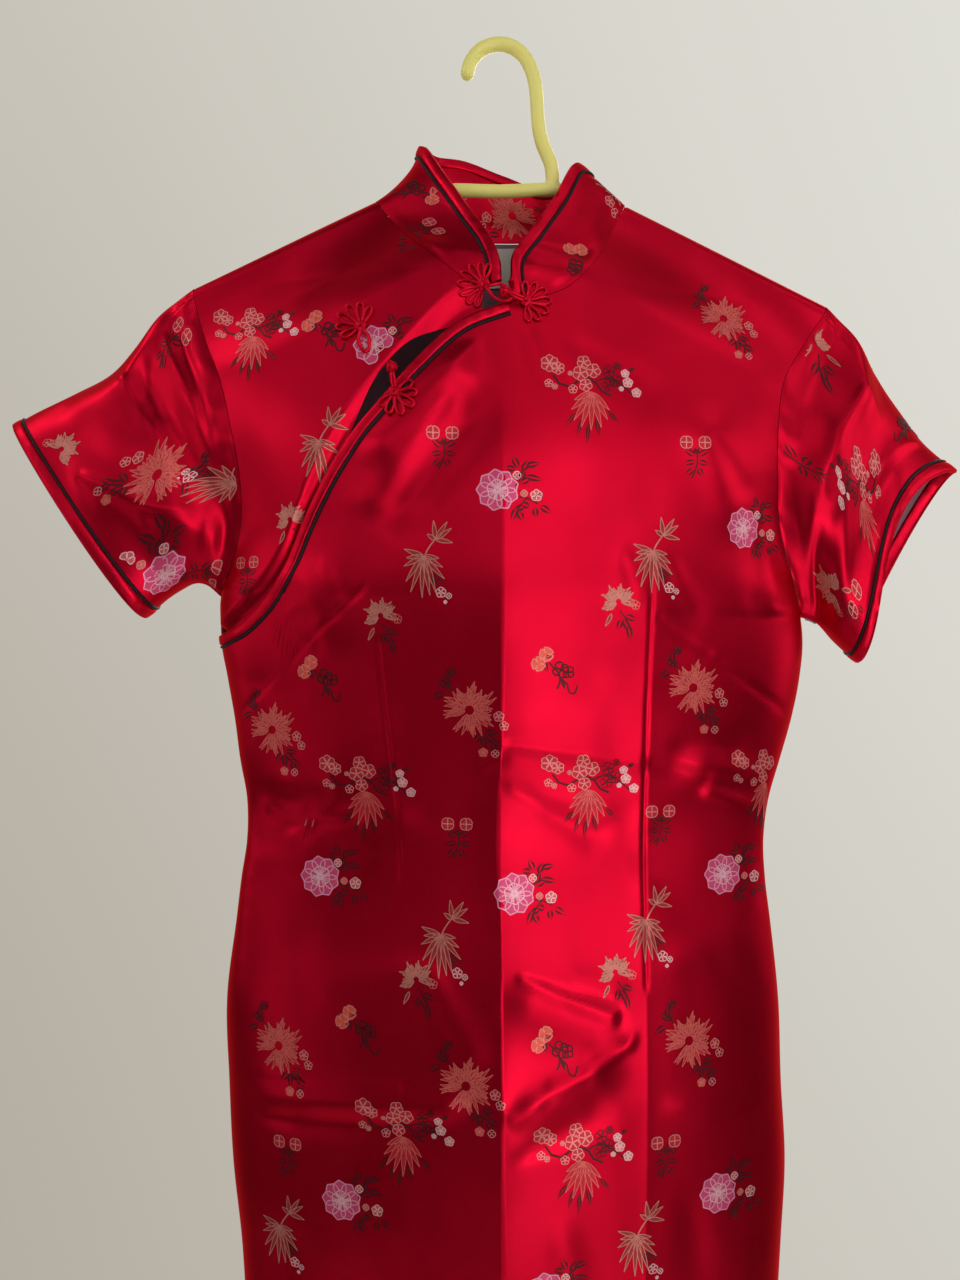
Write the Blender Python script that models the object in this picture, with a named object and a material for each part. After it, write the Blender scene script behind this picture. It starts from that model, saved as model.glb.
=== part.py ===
"""Short-sleeved brocade cheongsam on a one-piece plastic hanger.

Metres, +Z up, front towards -Y. The origin is the top of the hook's inner curve, where it hangs.
Sizes below are in millimetres. "down" is the distance below the origin.
"""
import math

import bmesh
import bpy
import numpy as np
from mathutils import Vector
from mathutils.bvhtree import BVHTree

MM = 0.001

# Cloth and sewing
WALL = 1.2
COLLAR_WALL = 1.6
SEAM = 0.3
HALF_SEAM = SEAM / 2
FINE_SPREAD = 0.3
BAND_WIDTH = 5.5
BAND_WALL = 0.8
BAND_GAP = 0.4
PIPING_WIDTH = 2.0
PIPING_HEIGHT = 1.0
LAP_DEPTH = 4.6
LAP_FADE = 24.0

# Hanger
ROD_RADIUS = 4.35
BAR_RADIUS = 4.1
ARM_RADIUS = 3.2
ROD_SIDES = 12
HOOK_RADIUS = 19.8
HOOK_START_DEG = 188.0
HOOK_END_DEG = 25.0
HOOK_STEP_DEG = 16.0
BAR_DOWN = 87.7
BAR_LEFT = -43.0
BAR_RIGHT = 46.5
STEM = [(27.0, 58.0), (32.5, 72.0), (33.5, 86.0)]
ARM_END_LEFT = -184.0
ARM_END_RIGHT = 197.0

# Shoulder line: highest point, and how much it falls for each millimetre outwards
SHOULDER_PEAK = 57.5
SHOULDER_EASE = 15.0
SHOULDER_FALL = {"left": 0.482, "right": 0.5056}
SHOULDER_ROUND = 8.0
ARM_BELOW = 5.3
SHOULDER_GROW = 75.0
TIP = {"left": (-189.5, 148.9), "right": (203.0, 160.3)}
UNDERARM = {"left": 341.0, "right": 354.0}
KNEE_BY_OPENING = 392.0
UNDER_KNEE_SHARE = 0.83
EDGE_ROWS_SHARE = 0.45
SLOPE_STEP = 0.012
STEEPEST_EDGE = 2.6
ARMHOLE_DEPTH = {"front": 24.0, "back": 20.0}

HEM_DOWN = 1060.0
SLIT_TOP = 880.0
SLIT_PART = 6.0

# Half widths of the body, seen from the front
OUTLINE = [
    # down, left, right
    (0.0, 189.5, 203.0),
    (148.0, 189.5, 203.0),
    (160.0, 187.5, 203.0),
    (181.0, 181.3, 190.5),
    (210.0, 169.0, 172.5),
    (240.0, 161.5, 167.0),
    (270.0, 156.5, 166.6),
    (297.0, 157.0, 168.5),
    (321.0, 164.0, 176.0),
    (341.0, 173.5, 184.0),
    (356.0, 174.0, 188.0),
    (368.0, 173.5, 189.0),
    (392.0, 169.3, 187.0),
    (417.0, 165.0, 182.0),
    (442.0, 161.8, 175.0),
    (467.0, 157.5, 168.0),
    (492.0, 157.5, 165.0),
    (516.0, 161.0, 166.0),
    (541.0, 164.0, 169.0),
    (591.0, 170.0, 174.0),
    (640.0, 168.5, 175.5),
    (690.0, 166.0, 178.0),
    (740.0, 160.6, 175.5),
    (800.0, 157.0, 172.0),
    (900.0, 152.0, 166.0),
    (1060.0, 146.0, 160.0),
]

# How far the front and back stand out from the side seams, and how sharp their centre fold is
FULLNESS = [
    # down, front, back, front_fold, back_fold
    (60.0, 34.0, 22.0, 2.0, 2.0),
    (170.0, 41.0, 30.0, 2.0, 2.0),
    (250.0, 52.0, 38.0, 1.7, 2.0),
    (300.0, 57.0, 40.0, 1.35, 1.8),
    (340.0, 60.0, 40.0, 1.2, 1.6),
    (400.0, 55.0, 38.0, 1.12, 1.5),
    (490.0, 38.0, 30.0, 1.08, 1.4),
    (600.0, 54.0, 42.0, 1.1, 1.4),
    (760.0, 52.0, 42.0, 1.15, 1.5),
    (1060.0, 44.0, 36.0, 1.3, 1.6),
]

FRONT_NECK = [
    # x, down
    (-77.5, 95.0),
    (-57.4, 123.0),
    (-41.3, 140.0),
    (-26.9, 152.6),
    (-12.4, 163.0),
    (5.5, 171.0),
    (22.5, 168.0),
    (45.0, 157.0),
    (59.0, 139.0),
    (71.0, 114.0),
    (78.5, 97.8),
]
BACK_NECK = [
    # x, down
    (-77.5, 95.0),
    (-62.0, 104.5),
    (-40.0, 110.0),
    (0.0, 112.5),
    (40.0, 111.5),
    (62.0, 107.0),
    (78.5, 97.8),
]
NECK_POINT = {"left": -77.5, "right": 78.5}

# The opening's edge on the front, from the neck to the side seam
OPENING = [
    # x, down
    (-171.5, 366.0),
    (-153.0, 356.8),
    (-137.0, 340.5),
    (-124.3, 319.6),
    (-116.2, 300.7),
    (-104.2, 277.0),
    (-87.6, 250.8),
    (-70.6, 230.5),
    (-51.6, 208.5),
    (-26.8, 184.9),
    (5.5, 171.0),
]
OPENING_X = 5.5

# The lower edge of the piece under the opening. It gapes from x -90 to -30.
UNDER_EDGE = [
    # x, down
    (-174.0, 379.0),
    (-153.0, 369.0),
    (-137.0, 354.0),
    (-124.3, 334.0),
    (-116.2, 315.0),
    (-104.2, 286.0),
    (-88.0, 245.0),
    (-72.0, 213.5),
    (-59.0, 198.0),
    (-36.0, 185.5),
    (-14.0, 184.0),
    (2.0, 184.0),
]

# Largest folds of the front and back, as soft ridges (+) and troughs (-)
FRONT_FOLDS = [
    # x0, down0, x1, down1, height, width
    (-20.0, 205.0, -75.0, 262.0, 4.0, 12.0),
    (-12.0, 235.0, -62.0, 300.0, -3.5, 13.0),
    (-150.0, 470.0, -105.0, 462.0, -3.5, 12.0),
    (112.0, 442.0, 155.0, 452.0, 3.5, 12.0),
    (-150.0, 640.0, -25.0, 634.0, 2.6, 9.0),
    (8.0, 575.0, 66.0, 600.0, -5.0, 13.0),
    (12.0, 640.0, 62.0, 612.0, 4.5, 13.0),
    (80.0, 315.0, 92.0, 360.0, 2.5, 20.0),
    (120.0, 240.0, 142.0, 300.0, 3.0, 14.0),
    (-118.0, 330.0, -100.0, 372.0, 3.0, 12.0),
]
BACK_FOLDS = [
    # x0, down0, x1, down1, height, width
    (-70.0, 170.0, -130.0, 250.0, 3.5, 14.0),
    (80.0, 175.0, 132.0, 262.0, 3.0, 15.0),
    (-140.0, 468.0, -70.0, 480.0, -4.0, 13.0),
    (60.0, 455.0, 140.0, 472.0, -3.5, 13.0),
    (20.0, 590.0, 105.0, 570.0, 3.5, 14.0),
    (-110.0, 630.0, -30.0, 615.0, 3.5, 14.0),
]

# Sleeves, from the armhole (t = 0) to the hem (t = 1)
LEFT_SLEEVE = [
    # t, top_x, top_down, low_x, low_down, half_depth
    (0.0, -189.5, 148.9, -173.5, 341.0, 22.0),
    (0.2, -211.0, 166.0, -183.0, 333.5, 24.0),
    (0.36, -225.5, 186.0, -191.0, 333.0, 25.0),
    (0.52, -240.0, 202.0, -199.0, 337.0, 25.0),
    (0.7, -263.0, 214.5, -207.5, 342.5, 25.0),
    (0.88, -288.0, 227.0, -216.0, 349.5, 26.0),
    (1.0, -301.3, 234.4, -221.3, 353.4, 27.0),
]
RIGHT_SLEEVE = [
    # t, top_x, top_down, low_x, low_down, half_depth
    (0.0, 203.0, 160.3, 184.0, 354.0, 22.0),
    (0.2, 221.0, 178.5, 193.0, 356.0, 24.0),
    (0.42, 234.5, 203.0, 201.5, 361.5, 25.0),
    (0.63, 249.5, 224.5, 209.5, 369.5, 24.0),
    (0.83, 266.0, 246.0, 217.5, 376.5, 24.0),
    (1.0, 285.2, 262.3, 223.8, 381.3, 24.0),
]
SLEEVE_PULL = {"left": 3.0, "right": 38.0}
SLEEVE_BAND = 6.5
SLEEVE_STATIONS = [0.0, 0.13, 0.27, 0.41, 0.55, 0.7, 0.85]
# around: 0 at the shoulder, 0.5 at the underarm in front, so 0.5 to 1 is the back
LEFT_SLEEVE_FOLDS = [
    # around0, t0, around1, t1, height, width
    (0.04, 0.12, 0.27, 0.1, -5.0, 13.0),
    (0.05, 0.02, 0.24, 0.0, 3.0, 10.0),
    (0.08, 0.35, 0.25, 0.2, 4.5, 12.0),
    (0.12, 0.55, 0.33, 0.12, -5.0, 13.0),
    (0.26, 0.72, 0.4, 0.08, 5.5, 12.0),
    (0.88, 0.3, 0.68, 0.15, -4.0, 14.0),
    (0.82, 0.6, 0.62, 0.2, 4.0, 14.0),
]
RIGHT_SLEEVE_FOLDS = [
    # around0, t0, around1, t1, height, width
    (0.04, 0.1, 0.3, 0.14, -5.5, 13.0),
    (0.1, 0.42, 0.33, 0.12, 5.0, 13.0),
    (0.16, 0.7, 0.34, 0.4, -3.5, 14.0),
    (0.88, 0.35, 0.66, 0.15, -4.0, 14.0),
    (0.8, 0.65, 0.62, 0.3, 3.5, 14.0),
]

# The collar's free edge, from its left front end round the back to its right front end
COLLAR_TOP = [
    # s, x, y, down
    (0.0, -0.6, -42.5, 159.0),
    (0.05, -1.4, -42.0, 147.0),
    (0.1, -6.0, -38.5, 133.5),
    (0.17, -18.5, -30.5, 112.5),
    (0.24, -34.5, -18.0, 85.0),
    (0.285, -46.0, -7.0, 64.5),
    (0.31, -49.5, 0.5, 60.5),
    (0.35, -42.0, 13.5, 60.0),
    (0.42, -22.0, 21.5, 60.0),
    (0.5, 4.0, 23.5, 69.0),
    (0.58, 30.0, 21.5, 78.5),
    (0.645, 48.5, 14.0, 77.0),
    (0.69, 54.0, 3.5, 73.5),
    (0.73, 47.0, -6.5, 74.0),
    (0.79, 34.5, -18.0, 98.5),
    (0.87, 18.5, -31.0, 125.5),
    (0.94, 7.5, -39.5, 144.0),
    (1.0, 7.0, -42.5, 160.0),
]
COLLAR_ROWS = [0.0, 0.36, 0.7, 1.0]

# Panel grids
EDGE_DROPS = [0.0, 1.8, BAND_WIDTH, BAND_WIDTH + SEAM + PIPING_WIDTH]
ARMHOLE_ROWS = [0.12, 0.24, 0.36, 0.48, 0.6, 0.72, 0.84, 0.93, 0.98, 1.0]
LOWER_ROWS = [0.03, 0.065, 0.1, 0.137, 0.174, 0.211, 0.25, 0.29, 0.335, 0.385,
              0.44, 0.5, 0.565, 0.64, 0.745, 0.87, 1.0]
UNDER_ROWS = [0.0, 0.35, 0.7, 1.0]
LEVEL_OUT = 0.14
RIGHT_COLUMNS = [0.08, 0.15, 0.22, 0.285, 0.335, 0.365, 0.379, 0.3867, 0.46, 0.54, 0.62, 0.7, 0.78, 0.86, 0.93, 0.978, 1.0]
LEFT_COLUMNS = [-1.0, -0.978, -0.93, -0.86, -0.79, -0.72, -0.65, -0.56, -0.47, -0.38, -0.28, -0.18, -0.09, 0.0]
UNDER_COLUMNS = [-1.0, -0.978, -0.93, -0.86, -0.76, -0.66, -0.56, -0.48, -0.409, -0.385, -0.35, -0.28, -0.21, -0.14, -0.065]
BACK_LEFT = [-1.0, -0.978, -0.93, -0.84, -0.72, -0.6, -0.5, -0.409, -0.39, -0.36, -0.3, -0.2, -0.1]
BACK_RIGHT = [0.0, 0.1, 0.2, 0.29, 0.34, 0.368, 0.3867, 0.48, 0.58, 0.7, 0.82, 0.92, 0.976, 1.0]

# Frogs: the cord flowers, with their centre, reach and the directions between which the petals fan
FLOWERS = [
    # name, x, down, reach, first_deg, last_deg, petals
    ("frog_neck_flower_left", -10.0, 161.5, 16.0, 60.0, 262.0, 8),
    ("frog_neck_flower_right", 14.6, 171.5, 15.5, -97.0, 107.0, 7),
    ("frog_chest_flower_left", -81.5, 184.7, 17.5, 52.0, 218.0, 6),
    ("frog_chest_flower_right", -61.2, 225.2, 15.5, -155.0, 45.0, 6),
]
FLOWER_HEIGHT = 1.6
FLOWER_HEART = 3.4
FLOWER_LIFT = 0.42
FLOWER_STEPS = (0.15, 0.3, 0.45, 0.6, 0.8, 1.0)
FLOWER_SPREAD = 4.2
KNOT_RADIUS = 3.1
STEM_RADIUS = 1.2
KNOT_SPREAD = 1.5
KNOTS = [
    # name, knot_x, knot_down, high_x, high_down, root_x, root_down
    ("frog_neck_knot", 2.2, 167.6, 8.6, 169.4, 14.0, 171.2),
    ("frog_chest_knot", -62.6, 211.9, -62.2, 216.5, -61.4, 224.0),
]
LOOPS = [
    # name, x0, down0, x1, down1, half_width
    ("frog_neck_loop", -8.6, 163.6, 6.6, 169.8, 4.9),
    ("frog_chest_loop", -81.0, 186.0, -78.4, 200.0, 3.2),
]
LOOP_CORD = 1.1

# Neck label, blank
LABEL = {"x": 3.0, "width": 30.0, "top": 115.0, "height": 24.0, "wall": 1.0}


def clear_scene():
    for obj in list(bpy.data.objects):
        bpy.data.objects.remove(obj, do_unlink=True)


def material(name, colour, roughness, metallic=0.0):
    made = bpy.data.materials.new(name)
    made.use_nodes = True
    shader = made.node_tree.nodes["Principled BSDF"]
    shader.inputs["Base Color"].default_value = (*colour, 1.0)
    shader.inputs["Roughness"].default_value = roughness
    shader.inputs["Metallic"].default_value = metallic
    made.diffuse_color = (*colour, 1.0)
    return made


def smooth(table, column, at):
    """Reads a column of a table at a first-column value, along a smooth curve through its rows."""
    rows = np.array([[row[0], row[column]] for row in table])
    xs, ys = rows[:, 0], rows[:, 1]
    slopes = np.gradient(ys, xs)
    at = np.clip(at, xs[0], xs[-1])
    i = np.clip(np.searchsorted(xs, at, side="right") - 1, 0, len(xs) - 2)
    step = xs[i + 1] - xs[i]
    t = (at - xs[i]) / step
    start = (1 + 2 * t) * (1 - t) ** 2 * ys[i] + t * (1 - t) ** 2 * step * slopes[i]
    end = t * t * (3 - 2 * t) * ys[i + 1] + t * t * (t - 1) * step * slopes[i + 1]
    return start + end


def ramp(value):
    value = min(max(value, 0.0), 1.0)
    return value * value * (3 - 2 * value)


def side_of(x):
    return "left" if x < 0 else "right"


def shoulder_down(x):
    """The shoulder line, carried on as a soft peak over the neck."""
    return SHOULDER_PEAK + SHOULDER_FALL[side_of(x)] * math.hypot(x, SHOULDER_EASE)


def half_width(side, down):
    return float(smooth(OUTLINE, 1 if side == "left" else 2, down))


def along_armhole(side, down):
    tip = TIP[side][1]
    return (down - tip) / (UNDERARM[side] - tip)


def fold_height(folds, x, down):
    """Soft ridges and troughs that fade at both ends."""
    height = 0.0
    for x0, down0, x1, down1, rise, width in folds:
        run_x, run_down = x1 - x0, down1 - down0
        length = math.hypot(run_x, run_down)
        along = ((x - x0) * run_x + (down - down0) * run_down) / length
        across = ((x - x0) * run_down - (down - down0) * run_x) / length
        fade = ramp((along + width) / (2 * width)) * ramp((length + width - along) / (2 * width))
        height += rise * fade * math.exp(-(across / width) ** 2)
    return height


def depth(face, x, down):
    """How far the front or back stands out from the plane of the side seams."""
    side = side_of(x)
    q = min(abs(x) / half_width(side, down), 1.0)
    column = 1 if face == "front" else 2
    full = float(smooth(FULLNESS, column, down))
    fold = float(smooth(FULLNESS, column + 2, down))
    arm = along_armhole(side, down)
    edge = 0.0
    if 0.0 < arm < 1.0:
        edge = ARMHOLE_DEPTH[face] * math.sin(math.pi * arm) ** 0.8
    at_edge = q ** 8
    open_arm = at_edge * (1.0 - ramp((arm - 0.78) / 0.22)) + (1.0 - at_edge) * (1.0 - ramp(arm))
    section = edge + (full - edge) * (1.0 - q ** fold) ** (0.5 + 0.5 * open_arm)
    below = max(down - shoulder_down(x), 0.0)
    turn = min(below / SHOULDER_ROUND, 1.0)
    rolled = SHOULDER_ROUND * math.sqrt(1.0 - (1.0 - turn) ** 2)
    grow = ramp(below / SHOULDER_GROW)
    folds = FRONT_FOLDS if face == "front" else BACK_FOLDS
    crease = fold_height(folds, x, down) * grow * (1.0 - q ** 6)
    return rolled * (1.0 - grow) + section * grow + crease


def slit_part(x, down):
    """The front and back edges part below the side slit's top."""
    q = abs(x) / half_width(side_of(x), down)
    open_by = ramp((down - SLIT_TOP) / (HEM_DOWN - SLIT_TOP))
    return SLIT_PART / 2 * open_by * ramp((q - 0.8) / 0.2)


def body_point(face, x, down):
    out = depth(face, x, down) + HALF_SEAM + slit_part(x, down)
    return np.array([x, -out if face == "front" else out, -down])


def top_of(face, x):
    """The upper edge of the front, the under piece or the back at x."""
    if face == "back":
        inside = NECK_POINT["left"] < x < NECK_POINT["right"]
        return float(smooth(BACK_NECK, 1, x)) if inside else shoulder_down(x)
    if face == "front" and x < OPENING_X:
        return float(smooth(OPENING, 1, x))
    inside = NECK_POINT["left"] < x < NECK_POINT["right"]
    return float(smooth(FRONT_NECK, 1, x)) if inside else shoulder_down(x)


def column_x(q, down):
    return q * half_width("left" if q < 0 else "right", down)


def column_top(face, q):
    """Where a column meets the panel's upper edge."""
    down = 160.0
    for _ in range(40):
        down = 0.5 * down + 0.5 * top_of(face, column_x(q, down))
    return down


def edge_slope(face, q):
    near = [column_top(face, q + step) for step in (-SLOPE_STEP, SLOPE_STEP)]
    run = abs(column_x(q + SLOPE_STEP, near[1]) - column_x(q - SLOPE_STEP, near[0]))
    return min(math.hypot(1.0, (near[1] - near[0]) / run), STEEPEST_EDGE)


def column_downs(face, q):
    """The levels of a column's points, from the upper edge to the hem or the under piece's edge."""
    top = column_top(face, q)
    on_edge = abs(q) >= 1.0
    lean = 1.0 if on_edge else edge_slope(face, q)
    if face == "under":
        low = float(smooth(UNDER_EDGE, 1, column_x(q, top)))
        for _ in range(20):
            low = float(smooth(UNDER_EDGE, 1, column_x(q, low)))
        knee = UNDERARM["left"] if on_edge else top + (low - top) * UNDER_KNEE_SHARE
    elif face == "front":
        knee = UNDERARM["right"] + (KNEE_BY_OPENING - UNDERARM["right"]) * ramp((0.6 - q) / 1.2)
    else:
        knee = UNDERARM["left"] + (UNDERARM["right"] - UNDERARM["left"]) * ramp((q + 1.0) / 2.0)
    drops = [drop * lean for drop in EDGE_DROPS]
    squeeze = min(1.0, EDGE_ROWS_SHARE * (knee - top) / drops[-1])
    drops = [drop * squeeze for drop in drops]
    first = ARMHOLE_ROWS[0]
    levels = [top + drop for drop in drops]
    start = max(levels[-1], top + first * (knee - top)) if drops[-1] < first * (knee - top) else levels[-1]
    for row in ARMHOLE_ROWS:
        share = (row - first) / (1.0 - first)
        level = start + share * (knee - start)
        if level > levels[-1] + 0.5:
            levels.append(level)
        else:
            levels.append(levels[-1] + (knee - levels[-1]) * 0.08)
    if face == "under":
        levels += [knee + (low - knee) * row for row in UNDER_ROWS[1:]]
    else:
        for row in LOWER_ROWS:
            flat = UNDERARM["right"] + (HEM_DOWN - UNDERARM["right"]) * row
            slanted = knee + (HEM_DOWN - knee) * row
            level_share = ramp(row / LEVEL_OUT)
            levels.append(slanted * (1 - level_share) + flat * level_share)
    return levels


def lap(x, down):
    """How deep the under piece lies below the front's surface near the opening."""
    edge = float(smooth(OPENING, 1, x))
    q = min(abs(x) / half_width("left", down), 1.0)
    fade = LAP_FADE * (1.0 - 0.72 * q ** 8)
    return LAP_DEPTH * ramp((fade + down - edge) / (fade * 0.75))


def unit(vectors):
    length = np.linalg.norm(vectors, axis=-1, keepdims=True)
    return vectors / np.maximum(length, 1e-9)


def grid_normals(points, outward, closed=False):
    """Outward directions of a grid; the first axis wraps round where it is closed."""
    if closed:
        along = np.roll(points, -1, axis=0) - np.roll(points, 1, axis=0)
    else:
        along = np.gradient(points, axis=0)
    down = np.gradient(points, axis=1)
    return unit(np.cross(along, down)) * outward


def panel_grid(face, columns):
    """Outer and inner points of a body panel, columns by rows."""
    side = "front" if face == "under" else face
    outward = 1.0 if face == "back" else -1.0
    grid = []
    for q in columns:
        downs = column_downs(face, q)
        grid.append([body_point(side, column_x(q, down), down) for down in downs])
    outer = np.array(grid)
    normals = grid_normals(outer, outward)
    for i, q in enumerate(columns):
        x_top = outer[i, 0, 0]
        on_shoulder = not NECK_POINT["left"] < x_top < NECK_POINT["right"]
        if on_shoulder and not (face == "front" and x_top < OPENING_X):
            normals[i, 0, 1] = 0.0
        if abs(q) >= 1.0:
            below = -outer[i, :, 2] > UNDERARM[side_of(q)] - 0.5
            normals[i, below, 1] = 0.0
    normals = unit(normals)
    if face == "under":
        for i, column in enumerate(outer):
            for j, point in enumerate(column):
                column[j] = point - normals[i, j] * lap(point[0], -point[2])
    return outer, outer - normals * WALL, normals


def add_mesh(name, verts, faces, finish, smooth_shade=True):
    mesh = bpy.data.meshes.new(name)
    mesh.from_pydata([tuple(v * MM for v in vert) for vert in verts], [], faces)
    work = bmesh.new()
    work.from_mesh(mesh)
    bmesh.ops.remove_doubles(work, verts=work.verts, dist=1e-7)
    bmesh.ops.triangulate(work, faces=work.faces, quad_method="SHORT_EDGE")
    bmesh.ops.recalc_face_normals(work, faces=work.faces)
    work.to_mesh(mesh)
    work.free()
    if smooth_shade:
        mesh.shade_smooth()
        mesh.set_sharp_from_angle(angle=math.radians(50))
    obj = bpy.data.objects.new(name, mesh)
    bpy.context.collection.objects.link(obj)
    mesh.materials.append(finish)
    return obj


def shell(name, outer, inner, finish, closed=False):
    """One closed wall between two grids. The first axis wraps round where it is closed."""
    n, m = outer.shape[:2]
    verts = list(outer.reshape(-1, 3)) + list(inner.reshape(-1, 3))
    far = n * m
    faces = []
    for i in range(n if closed else n - 1):
        k = (i + 1) % n
        for j in range(m - 1):
            faces.append((i * m + j, k * m + j, k * m + j + 1, i * m + j + 1))
            faces.append((far + i * m + j, far + i * m + j + 1, far + k * m + j + 1, far + k * m + j))
        for j in (0, m - 1):
            faces.append((i * m + j, far + i * m + j, far + k * m + j, k * m + j))
    if not closed:
        for i in (0, n - 1):
            for j in range(m - 1):
                faces.append((i * m + j, i * m + j + 1, far + i * m + j + 1, far + i * m + j))
    return add_mesh(name, verts, faces, finish)


def sweep(name, sections, finish, closed=False):
    """One closed solid through section loops, capped at its ends or joined in a ring."""
    count = len(sections)
    size = len(sections[0])
    verts = [point for section in sections for point in section]
    faces = []
    for i in range(count if closed else count - 1):
        k = (i + 1) % count
        for j in range(size):
            h = (j + 1) % size
            faces.append((i * size + j, k * size + j, k * size + h, i * size + h))
    if not closed:
        faces.append(tuple(range(size)))
        faces.append(tuple((count - 1) * size + j for j in range(size)))
    return add_mesh(name, verts, faces, finish)


def binding_sections(outer, inner, normals, rows):
    """A folded band round an edge: rows are the edge row and the row where the band ends."""
    edge, end = rows
    sections = []
    for i in range(len(outer)):
        away = unit(outer[i, edge] - outer[i, end])
        out, back = normals[i, edge], normals[i, end]
        near, far = BAND_GAP, BAND_GAP + BAND_WALL
        sections.append([
            outer[i, end] + back * near,
            outer[i, end] + back * far,
            outer[i, edge] + out * far + away * far,
            inner[i, edge] - out * far + away * far,
            inner[i, end] - back * far,
            inner[i, end] - back * near,
            inner[i, edge] - out * near + away * near,
            outer[i, edge] + out * near + away * near,
        ])
    return sections


def piping_sections(outer, normals, rows):
    """A narrow raised strip beside a band, between two rows of a grid."""
    start, end = rows
    sections = []
    for i in range(len(outer)):
        along = unit(outer[i, end] - outer[i, start])
        first = outer[i, start] + along * SEAM
        sections.append([
            first + normals[i, start] * SEAM,
            first + normals[i, start] * (SEAM + PIPING_HEIGHT),
            outer[i, end] + normals[i, end] * (SEAM + PIPING_HEIGHT),
            outer[i, end] + normals[i, end] * SEAM,
        ])
    return sections


def armhole_ring(side, front, back):
    """The sleeve's first ring: the armhole's points, moved out by the seam's gap."""
    rows = len(EDGE_DROPS) + len(ARMHOLE_ROWS)
    edge, near = (0, 1) if side == "left" else (-1, -2)
    rings = []
    for layer in (0, 1):
        halves = []
        for panel in (front, back):
            points = panel[layer][edge, :rows]
            away = unit(panel[0][edge, :rows] - panel[0][near, :rows])
            halves.append(points + away * SEAM * 1.2)
        ahead, behind = halves
        ahead[0] = (ahead[0] + behind[0]) / 2
        ahead[-1] = (ahead[-2] + behind[-2]) / 2 + np.array([0.0, 0.0, WALL * layer])
        for end in (0, -1):
            ahead[end, 1] = 0.0
        rings.append(np.concatenate([ahead, behind[rows - 2:0:-1]]))
    return rings


def ring_angles(count):
    """Angles round a flattened sleeve, closer together at its two folds."""
    rows = count // 2 + 1
    shares = np.array([i / (rows - 1) for i in range(rows)])
    front = math.pi * shares
    return np.concatenate([front, 2 * math.pi - front[-2:0:-1]])


def sleeve_ring(table, side, t, angles):
    top = np.array([smooth(table, 1, t), 0.0, -smooth(table, 2, t)])
    low = np.array([smooth(table, 3, t), 0.0, -smooth(table, 4, t)])
    half = float(smooth(table, 5, t))
    outward = -1.0 if side == "left" else 1.0
    ring = []
    for angle in angles:
        cos, sin = math.cos(angle), math.sin(angle)
        point = (top + low) / 2 + (top - low) / 2 * cos
        point[1] = -half * math.copysign(abs(sin) ** 0.85, sin)
        if sin > 0:
            point[0] -= outward * SLEEVE_PULL[side] * t * t * sin * (0.6 + 0.5 * cos)
        ring.append(point)
    return np.array(ring)


def sleeve_folds(folds, around, t, length):
    height = 0.0
    for a0, t0, a1, t1, rise, width in folds:
        girth = 2 * length
        run_a, run_t = (a1 - a0) * girth, (t1 - t0) * length
        run = math.hypot(run_a, run_t)
        off_a, off_t = (around - a0) * girth, (t - t0) * length
        along = (off_a * run_a + off_t * run_t) / run
        across = (off_a * run_t - off_t * run_a) / run
        fade = ramp((along + width) / (2 * width)) * ramp((run + width - along) / (2 * width))
        height += rise * fade * math.exp(-(across / width) ** 2)
    return height


def sleeve_grid(side, table, folds, front, back):
    outer_ring, inner_ring = armhole_ring(side, front, back)
    count = len(outer_ring)
    angles = ring_angles(count)
    reach = np.linalg.norm(sleeve_ring(table, side, 1.0, angles) - sleeve_ring(table, side, 0.0, angles), axis=1)
    first = sleeve_ring(table, side, 0.0, angles)
    stations = [[t] * count for t in SLEEVE_STATIONS]
    for drop in (SLEEVE_BAND + SEAM + PIPING_WIDTH, SLEEVE_BAND, 0.0):
        stations.append([1.0 - drop / length for length in reach])
    rings = []
    for station in stations:
        ring = []
        for k, t in enumerate(station):
            point = sleeve_ring(table, side, t, angles[k:k + 1])[0]
            point = point + (outer_ring[k] - first[k]) * (1.0 - t) ** 2
            lift = sleeve_folds(folds, k / count, t, reach[k]) * ramp(t / 0.12) * ramp((1.0 - t) / 0.2)
            point[1] += lift * (-1.0 if k <= count // 2 else 1.0)
            ring.append(point)
        rings.append(ring)
    rings[0] = list(outer_ring)
    outer = np.array(rings).transpose(1, 0, 2)
    normals = grid_normals(outer, 1.0 if side == "left" else -1.0, closed=True)
    normals = normals * sleeve_sign(outer, normals)
    inner = outer - normals * WALL
    inner[:, 0] = inner_ring
    return outer, inner, normals


def sleeve_sign(outer, normals):
    """+1 where the directions already point away from the sleeve's middle, -1 where they don't."""
    middle = outer.mean(axis=0, keepdims=True)
    return 1.0 if float(((outer - middle) * normals).sum()) > 0 else -1.0


def neck_ring(under, back, front):
    """The neck's edge from the left front end round the back to the right front end."""
    outer, inner, away = [], [], []

    def take(panel, order):
        for i in order:
            outer.append(panel[0][i, 0])
            inner.append(panel[1][i, 0])
            away.append(unit(panel[0][i, 0] - panel[0][i, 1]))

    def corner(side):
        x = NECK_POINT[side]
        fall = SHOULDER_FALL[side]
        sign = -1.0 if side == "left" else 1.0
        point = np.array([x, 0.0, -shoulder_down(x)])
        outer.append(point)
        inner.append(point - unit(np.array([sign * fall, 0.0, 1.0])) * WALL)
        away.append(unit(np.array([-sign, 0.0, fall])))

    def inside(panel):
        xs = panel[0][:, 0, 0]
        return [i for i, x in enumerate(xs) if NECK_POINT["left"] + 1 < x < NECK_POINT["right"] - 1]

    take(under, reversed(inside(under)))
    corner("left")
    take(back, inside(back))
    corner("right")
    take(front, reversed([i for i in inside(front) if front[0][i, 0, 0] >= OPENING_X - 0.1]))
    return np.array(outer), np.array(inner), np.array(away)


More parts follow.
